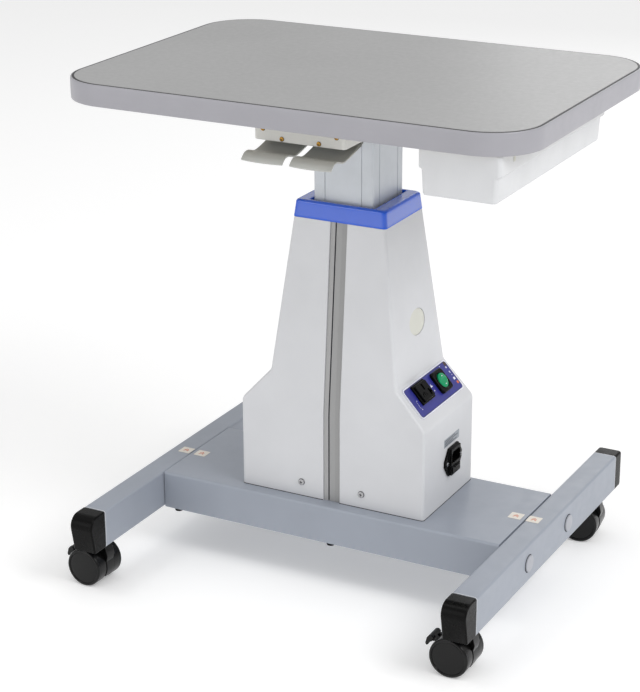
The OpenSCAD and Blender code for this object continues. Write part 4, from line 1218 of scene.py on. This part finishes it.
def rating_label():
    """A plain plate with four dark bars for its text."""
    low, high = box("rating_label")
    place = on_side((low.y + high.y) / 2, (low.z + high.z) / 2)
    w, h = high.y - low.y, high.z - low.z
    plate = prism(rounded_rect(w, h, 0.8, 4), at_z, 0.02, 0.26)
    make_piece("rating_label_piece", moved(plate, place), "base", PLATE, ["rating_label"])
    left = 2.5 - w / 2
    bars = [
        prism(rounded_rect(length, 1.2, 0.3, 2, (left + length / 2, y)), at_z, 0.2, 0.29)
        for y, length in ((3.3, 30), (1.1, 38), (-1.1, 25), (-3.3, 35))
    ]
    make_piece("rating_label_bars", moved(joined(*bars), place), "base", INK_AND_SHADE)


def side_plug():
    """An oval plug held in an opening of the side, its face a little below the sheet's."""
    rings = [
        (-5.0, 1.6), (-1.7, 1.6), (-1.7, -0.35), (-2.0, -0.35), (-1.0, -0.35), (-0.75, -0.6), (-0.7, -1.6),
    ]
    bm = loft([at_z(oval(PLUG_HALF[0] + grow, PLUG_HALF[1] + grow), z) for z, grow in rings])
    bm = moved(bm, on_upper_side(*PLUG_AT))
    make_piece("side_plug_piece", bm, "base", CREAM, ["side_plug"])


# ---------------------------------------------------------------- drawer

def drawer():
    """A thin-walled bin with a rim band, inward lips at its sides and a notched rear wall."""
    low, high = box("drawer")
    cx = (low.x + high.x) / 2
    step, band_h, taper, wall, rim, lip_w, lip_t = 3.5, 24.0, 1.6, 2.2, 0.9, 6.0, 2.5
    foot = step + taper
    band_z = high.z - band_h
    width = high.x - low.x

    def ring(z, side_in, front_in, radius):
        """One level of the bin; the rear is set in as far as the sides."""
        y0, y1 = low.y + front_in, high.y - side_in
        return at_z(rounded_rect(width - 2 * side_in, y1 - y0, radius, 7, (cx, (y0 + y1) / 2)), z)

    bm = loft([
        ring(low.z, foot + 3.2, 3.4, 3.0),
        ring(low.z + 0.6, foot + 1.2, 1.4, 4.2),
        ring(low.z + 2.4, foot + 0.1, 0.4, 5.0),
        ring(band_z - 2.2, step + 0.2, 0.05, 5.0),
        ring(band_z - 0.7, step - 0.5, 0.02, 5.0),
        ring(band_z + 0.3, 0.5, 0.0, 5.0),
        ring(band_z + 1.6, 0.0, 0.0, 5.0),
        ring(high.z - rim, 0.0, 0.0, 5.0),
        ring(high.z - 0.25, 0.25, 0.25, 4.8),
        ring(high.z, rim, rim, 4.2),
        ring(high.z, wall - 0.5, wall - 0.5, 3.4),
        ring(high.z - 0.6, wall, wall, 3.0),
        ring(band_z + wall, wall, wall, 3.0),
        ring(band_z + wall - 0.8, step + wall - 0.3, wall, 3.0),
        ring(low.z + wall + 2.0, foot + wall, wall + 0.4, 3.0),
        ring(low.z + wall, foot + wall + 2.0, wall + 2.4, 2.0),
    ])
    lips = []
    for side in (-1, 1):
        x = cx + side * (width / 2 - wall + 0.3)
        x0, x1 = sorted((x, x - side * (lip_w + 0.3)))
        lips.append(block((x0, low.y + wall - 0.2, high.z - lip_t), (x1, high.y - wall + 0.2, high.z - 0.05)))
    bm = carved(bm, *lips, union=True)
    band_in = width / 2 - wall
    notch = block((cx - band_in, high.y - 20, high.z - 8), (cx + band_in, high.y + 10, high.z + 2))
    bm = carved(bm, notch)
    make_piece("drawer_piece", bm, "drawer", DRAWER, ["drawer"], smooth=50)
    tab_y = (-159, -154)
    tab = block((high.x - 0.6, tab_y[0], high.z - 13), (high.x + 0.9, tab_y[1], high.z - 6))
    tab = soften(tab, 0.5, 3)
    make_piece("drawer_stop_tab", tab, "drawer", CREAM)


# ---------------------------------------------------------------- switch housing and paddles

def pin_of(way):
    """The hinge point of the up or the down paddle."""
    return [value / MM for value in joints[way + "_press"]["pos_m"]]


def switch_housing():
    """A white housing, open below, with a bore for the paddles' pin."""
    low, high = box("switch_housing")
    w, d = high.x - low.x, high.y - low.y
    centre = ((low.x + high.x) / 2, (low.y + high.y) / 2)
    wall = 2.0

    def ring(inset, z, radius):
        return at_z(rounded_rect(w - 2 * inset, d - 2 * inset, radius, 7, centre), z)

    bm = loft([
        ring(wall + 2, high.z - wall, 1.5), ring(wall, high.z - wall - 1, 2.5),
        ring(wall, low.z + 0.4, 2.5), ring(wall - 0.4, low.z, 3.0), ring(0.8, low.z, 4.0),
        ring(0.25, low.z + 0.25, 4.4), ring(0.0, low.z + 0.9, 4.6), ring(0.0, high.z - 0.4, 4.6),
        ring(0.4, high.z, 4.4),
    ])
    _, pin_y, pin_z = pin_of("up")
    bore = prism(circle(2.05, 24, (pin_y, pin_z)), at_x, low.x - 5, high.x + 5)
    make_piece("switch_housing_piece", carved(bm, bore), "lift", HOUSING, ["switch_housing"],
               smooth=45)


def housing_screws():
    """Brass screw heads on the housing's front, and the heads of the screws that hold it up."""
    low, high = box("switch_housing")
    front_places = [(-41.6, 612.7), (54.4, 612.7), (-16.7, 602.8), (31.6, 602.8)]
    matrices = [facing((x, low.y, z), (0, -1, 0)) for x, z in front_places]
    middle = (low.x + high.x) / 2
    for x in (-40, 40):
        for y in (18, 52):
            matrices.append(facing((middle + x, low.y + y, high.z - 2.0), (0, 0, -1)))
    screw_row("housing_screws_piece", matrices, 2.6, 1.8, 3.0, "lift", BRASS, ["housing_screws"])


def paddle(way):
    """A thin curved paddle: tail, slope, crease, hump and a convex lip, with a raised arrow."""
    name = way + "_paddle"
    low, high = box(name)
    x0, pin_y, pin_z = pin_of(way)
    half = (high.x - low.x) / 2
    line = [Vector(p) for p in (
        (pin_y + 15, pin_z), (pin_y, pin_z - 3.9), (-120, 596.0), (-140, 590.3), (-151, 587.7),
        (-158, 586.4), (-162, 586.0), (-165.5, 586.3), (-169, 587.2), (-173, 588.6), (-178, 589.7),
        (-183, 590.0), (-187.5, 589.3), (-191.5, 587.8), (-195, 585.6), (-198.3, 582.4),
    )]
    thick, crown, stations = 2.2, 3.2, 14
    under = []
    for i, point in enumerate(line):
        a, b = line[max(i - 1, 0)], line[min(i + 1, len(line) - 1)]
        along = (b - a).normalized()
        under.append(point + Vector((-along.y, along.x)) * thick)
    rings = []
    for k in range(stations + 1):
        u = -1 + 2 * k / stations
        ring = []
        for point in line + under[::-1]:
            pull = min(1.0, max(0.0, (-168 - point[0]) / 26.0))
            width = half if point[0] < pin_y - 4 else half - 4
            ring.append(Vector((x0 + u * width, point[0] + crown * u * u * pull * pull, point[1])))
        rings.append(ring)
    bm = loft(rings)
    soften(bm, 0.55, 3, angle=50)
    tail = half - 4.2
    boss = prism(circle(4.2, 28, (pin_y, pin_z)), at_x, x0 - tail, x0 + tail)
    ribs = []
    for x in (x0 - half + 9, x0, x0 + half - 9):
        outline = [(-128, 592.0), (-150, 586.2), (-160, 584.6), (-160, 582.6), (-128, 589.0)]
        ribs.append(soften(prism(outline, at_x, x - 0.7, x + 0.7), 0.2, 1))
    arrow = arrow_mark(x0, -181.5, 589.3, 1 if way == "up" else -1)
    piece = joined(bm, boss, *ribs, arrow)
    make_piece(name + "_piece", piece, name, PADDLE, [name], smooth=50)


def arrow_mark(x, y, z, direction):
    """A small raised arrow head, pointing to the rear for up and to the front for down."""
    size = 3.6
    reach = direction * size * 0.7
    outline = [(x - size, y - reach), (x + size, y - reach), (x, y + reach)]
    return soften(prism(outline, at_z, z, z + 1.1), 0.25, 2)


# ---------------------------------------------------------------- casters

def caster(place, body_node, wheel_node, lever_node):
    """One caster: hood with its stem, two wheels on an axle, and a brake lever where it has one."""
    swivel = joints["swivel_" + place]["pos_m"]
    roll = joints["roll_" + place]
    axle = Vector(roll["pos_m"]) / MM
    along = Vector(roll["axis"])
    stem = Vector((swivel[0], swivel[1], 0)) / MM
    back = Vector((axle.x - stem.x, axle.y - stem.y, 0))
    trail = back.length
    spot = frame_matrix((stem.x, stem.y, 0), -back.normalized(), along)
    low, high = box(wheel_node)
    radius = (high.z - low.z) / 2
    hood_half, wheel_in, wheel_out = 7.5, 8.0, 25.0
    top = box("right_rail")[0].z - 3.5

    def round_axle(*places):
        """Points round the axle, each given by its radius and angle."""
        return [
            (r * math.cos(math.radians(a)) - trail, r * math.sin(math.radians(a)) + radius) for r, a in places
        ]

    rim = radius + 0.6
    pivot = round_axle((20, 140))[0]
    outline = round_axle(
        *[(rim, -35 + 163 * k / 30) for k in range(31)], (12, 134), (8, 180), (8, 235), (12, -50),
    )
    boss_line = [
        (-13, 30), (-13, 50), (-9.5, top - 0.6), (-8.5, top), (3.5, top), (4.6, top - 0.8), (7.2, 49),
        (9.4, 40), (7, 30),
    ]
    plate, boss = (prism(line, at_y, -hood_half, hood_half) for line in (outline, boss_line))
    hood = soften(carved(plate, boss, union=True), 1.4, 4, angle=28)
    hood = carved(hood, prism(circle(3.05, 28, (-trail, radius)), at_y, -20, 20))
    if lever_node:
        arm_line = round_axle((8, 120), (23, 120), (23, 132), (20, 150), (8, 150))
        lug, arm = (prism(line, at_y, -2.5, 2.5) for line in (circle(4.2, 24, pivot), arm_line))
        hood = carved(hood, lug, arm, union=True)
    grip = lathe([
        (0, top - 4), (5.5, top - 4), (5.5, top + 1.5), (6.4, top + 1.5), (6.4, top + 2.6), (5.5, top + 2.6),
        (5.5, top + 22), (4.9, top + 23), (4.9, top + 26), (5.5, top + 27), (5.5, top + 29),
        (4.8, top + 30), (0, top + 30),
    ], 32)
    make_piece(body_node + "_hood", moved(hood, spot), "caster_" + place, CASTER,
               [body_node], smooth=45)
    make_piece(body_node + "_stem", moved(grip, spot), "caster_" + place, STEEL)

    half, edge, r = wheel_out - wheel_in, 2.6, radius
    profile = [(3.0, 0.0), (r - 1.2, 0.0), (r - 0.3, 0.3), (r, 1.2)]
    profile += [(r, half - 5.2), (r - 0.25, half - 5.0), (r - 0.25, half - 4.7), (r, half - 4.5)]
    profile += arc((r - edge, half - edge), edge, 0, 90, 9)
    disc = r - 3.6
    profile += [(disc + 0.4, half), (disc, half - 0.25), (disc - 0.3, half - 1.0), (disc - 0.7, half - 1.1)]
    profile += [(disc - 1.2, half - 0.8)]
    profile += [(disc * (1 - k / 8), half - 0.7 + 0.7 * math.sin(math.pi / 2 * k / 8)) for k in range(1, 8)]
    profile += [(0, half)]
    wheels = [
        moved(lathe(profile, 96), facing(Vector((-trail, side * wheel_in, radius)), (0, side, 0)))
        for side in (-1, 1)
    ]
    shaft = prism(circle(3.0, 28, (-trail, radius)), at_y, -wheel_in - 2, wheel_in + 2)
    make_piece(wheel_node + "_piece", moved(joined(*wheels, shaft), spot), "wheels_" + place,
               CASTER, [wheel_node], smooth=40)

    if lever_node:
        cheek = round_axle((21, 146), (28, 147), (33, 148), (33, 163), (28, 163))
        tab_line = round_axle(
            (28.5, 149), (33.0, 147.5), (35.6, 152), (36.6, 159), (36.4, 171), (34.6, 175), (32.6, 173),
            (31.4, 166), (28.5, 160),
        )
        arm, eye = (prism(line, at_y, -6.8, 6.8) for line in (cheek, circle(3.9, 28, pivot)))
        arm = carved(arm, eye, union=True)
        arm = carved(arm, prism(circle(9, 28, pivot), at_y, -2.7, 2.7))
        tab = soften(prism(tab_line, at_y, -11, 11), 1.0, 3, angle=30)
        tab = carved(tab, prism(circle(6.0, 32, round_axle((40.4, 160))[0]), at_y, -8, 8))
        pin = prism(circle(1.5, 20, pivot), at_y, -6, 6)
        lever = moved(joined(arm, tab, pin), spot)
        make_piece(lever_node + "_piece", lever, "brake_" + place, CASTER, [lever_node],
                   smooth=40)


def casters():
    """The four casters; only the front ones have a brake lever."""
    for place in ("front_left", "front_right", "rear_left", "rear_right"):
        lever = "brake_lever_" + place if place.startswith("front") else None
        caster(place, "caster_body_" + place, "caster_wheels_" + place, lever)


# ---------------------------------------------------------------- light and floor

def stage():
    """A plain pale floor, a bright even surround and four soft lights."""
    size = 30.0
    bm = block((-size, -size, -0.02), (size, size, 0.0))
    mesh = bpy.data.meshes.new("floor")
    bmesh.ops.recalc_face_normals(bm, faces=bm.faces)
    bm.to_mesh(mesh)
    bm.free()
    floor = bpy.data.objects.new("floor", mesh)
    bpy.context.scene.collection.objects.link(floor)
    g = Graph("floor")
    blotches = g.spread(g.noise(400, detail=3), "Fac", 0.0, 0.02)
    g.colour(g.mix((blotches, "Result"), (0.95, 0.95, 0.95), (0.93, 0.93, 0.93)))
    g.set(Roughness=0.9, Specular_IOR_Level=0.1, Emission_Color=(1.0, 1.0, 1.0, 1.0), Emission_Strength=0.19)
    mesh.materials.append(g.material)

    world = bpy.data.worlds.new("surround")
    world.use_nodes = True
    surround = world.node_tree.nodes["Background"].inputs
    surround["Color"].default_value = (1.0, 1.0, 1.0, 1.0)
    surround["Strength"].default_value = 0.66
    bpy.context.scene.world = world

    def area(name, place, target, size, power):
        light = bpy.data.objects.new(name, bpy.data.lights.new(name, "AREA"))
        light.data.shape = "RECTANGLE"
        light.data.size, light.data.size_y = size
        light.data.energy = power
        light.location = place
        light.rotation_euler = (Vector(target) - Vector(place)).to_track_quat("-Z", "Y").to_euler()
        bpy.context.scene.collection.objects.link(light)

    area("key", (2.5, -0.6, 2.6), (0, 0, 0.3), (1.5, 1.5), 44)
    area("back", (-0.3, 3.0, 1.5), (0.2, 0, 0.6), (1.5, 1.0), 7)
    area("top", (-1.0, -0.9, 2.7), (0, 0, 0.3), (0.6, 0.6), 5)
    area("fill", (-1.3, -2.7, 1.2), (0, 0, 0.35), (1.6, 1.6), 11)
    bpy.context.scene.view_settings.view_transform = "Standard"


# ---------------------------------------------------------------- the whole table

tabletop()
inner_column()
collar()
cover_half("right_cover", 1)
cover_half("left_cover", -1)
# painted shadow along the foot of each cover half
cover_foot_shadow("right_cover_foot_shadow", 1)
cover_foot_shadow("left_cover_foot_shadow", -1)
strip("front_strip", True)
strip("rear_strip", False)
cover_screws()
base_channel()
rail("left_rail")
rail("right_rail")
tube_cuts()
front_caps()
rear_caps()
bolt_plugs()
bumpers()
labels()
panel()
outlet()
rocker()
mains_inlet()
rating_label()
side_plug()
drawer()
switch_housing()
housing_screws()
paddle("up")
paddle("down")
casters()
stage()
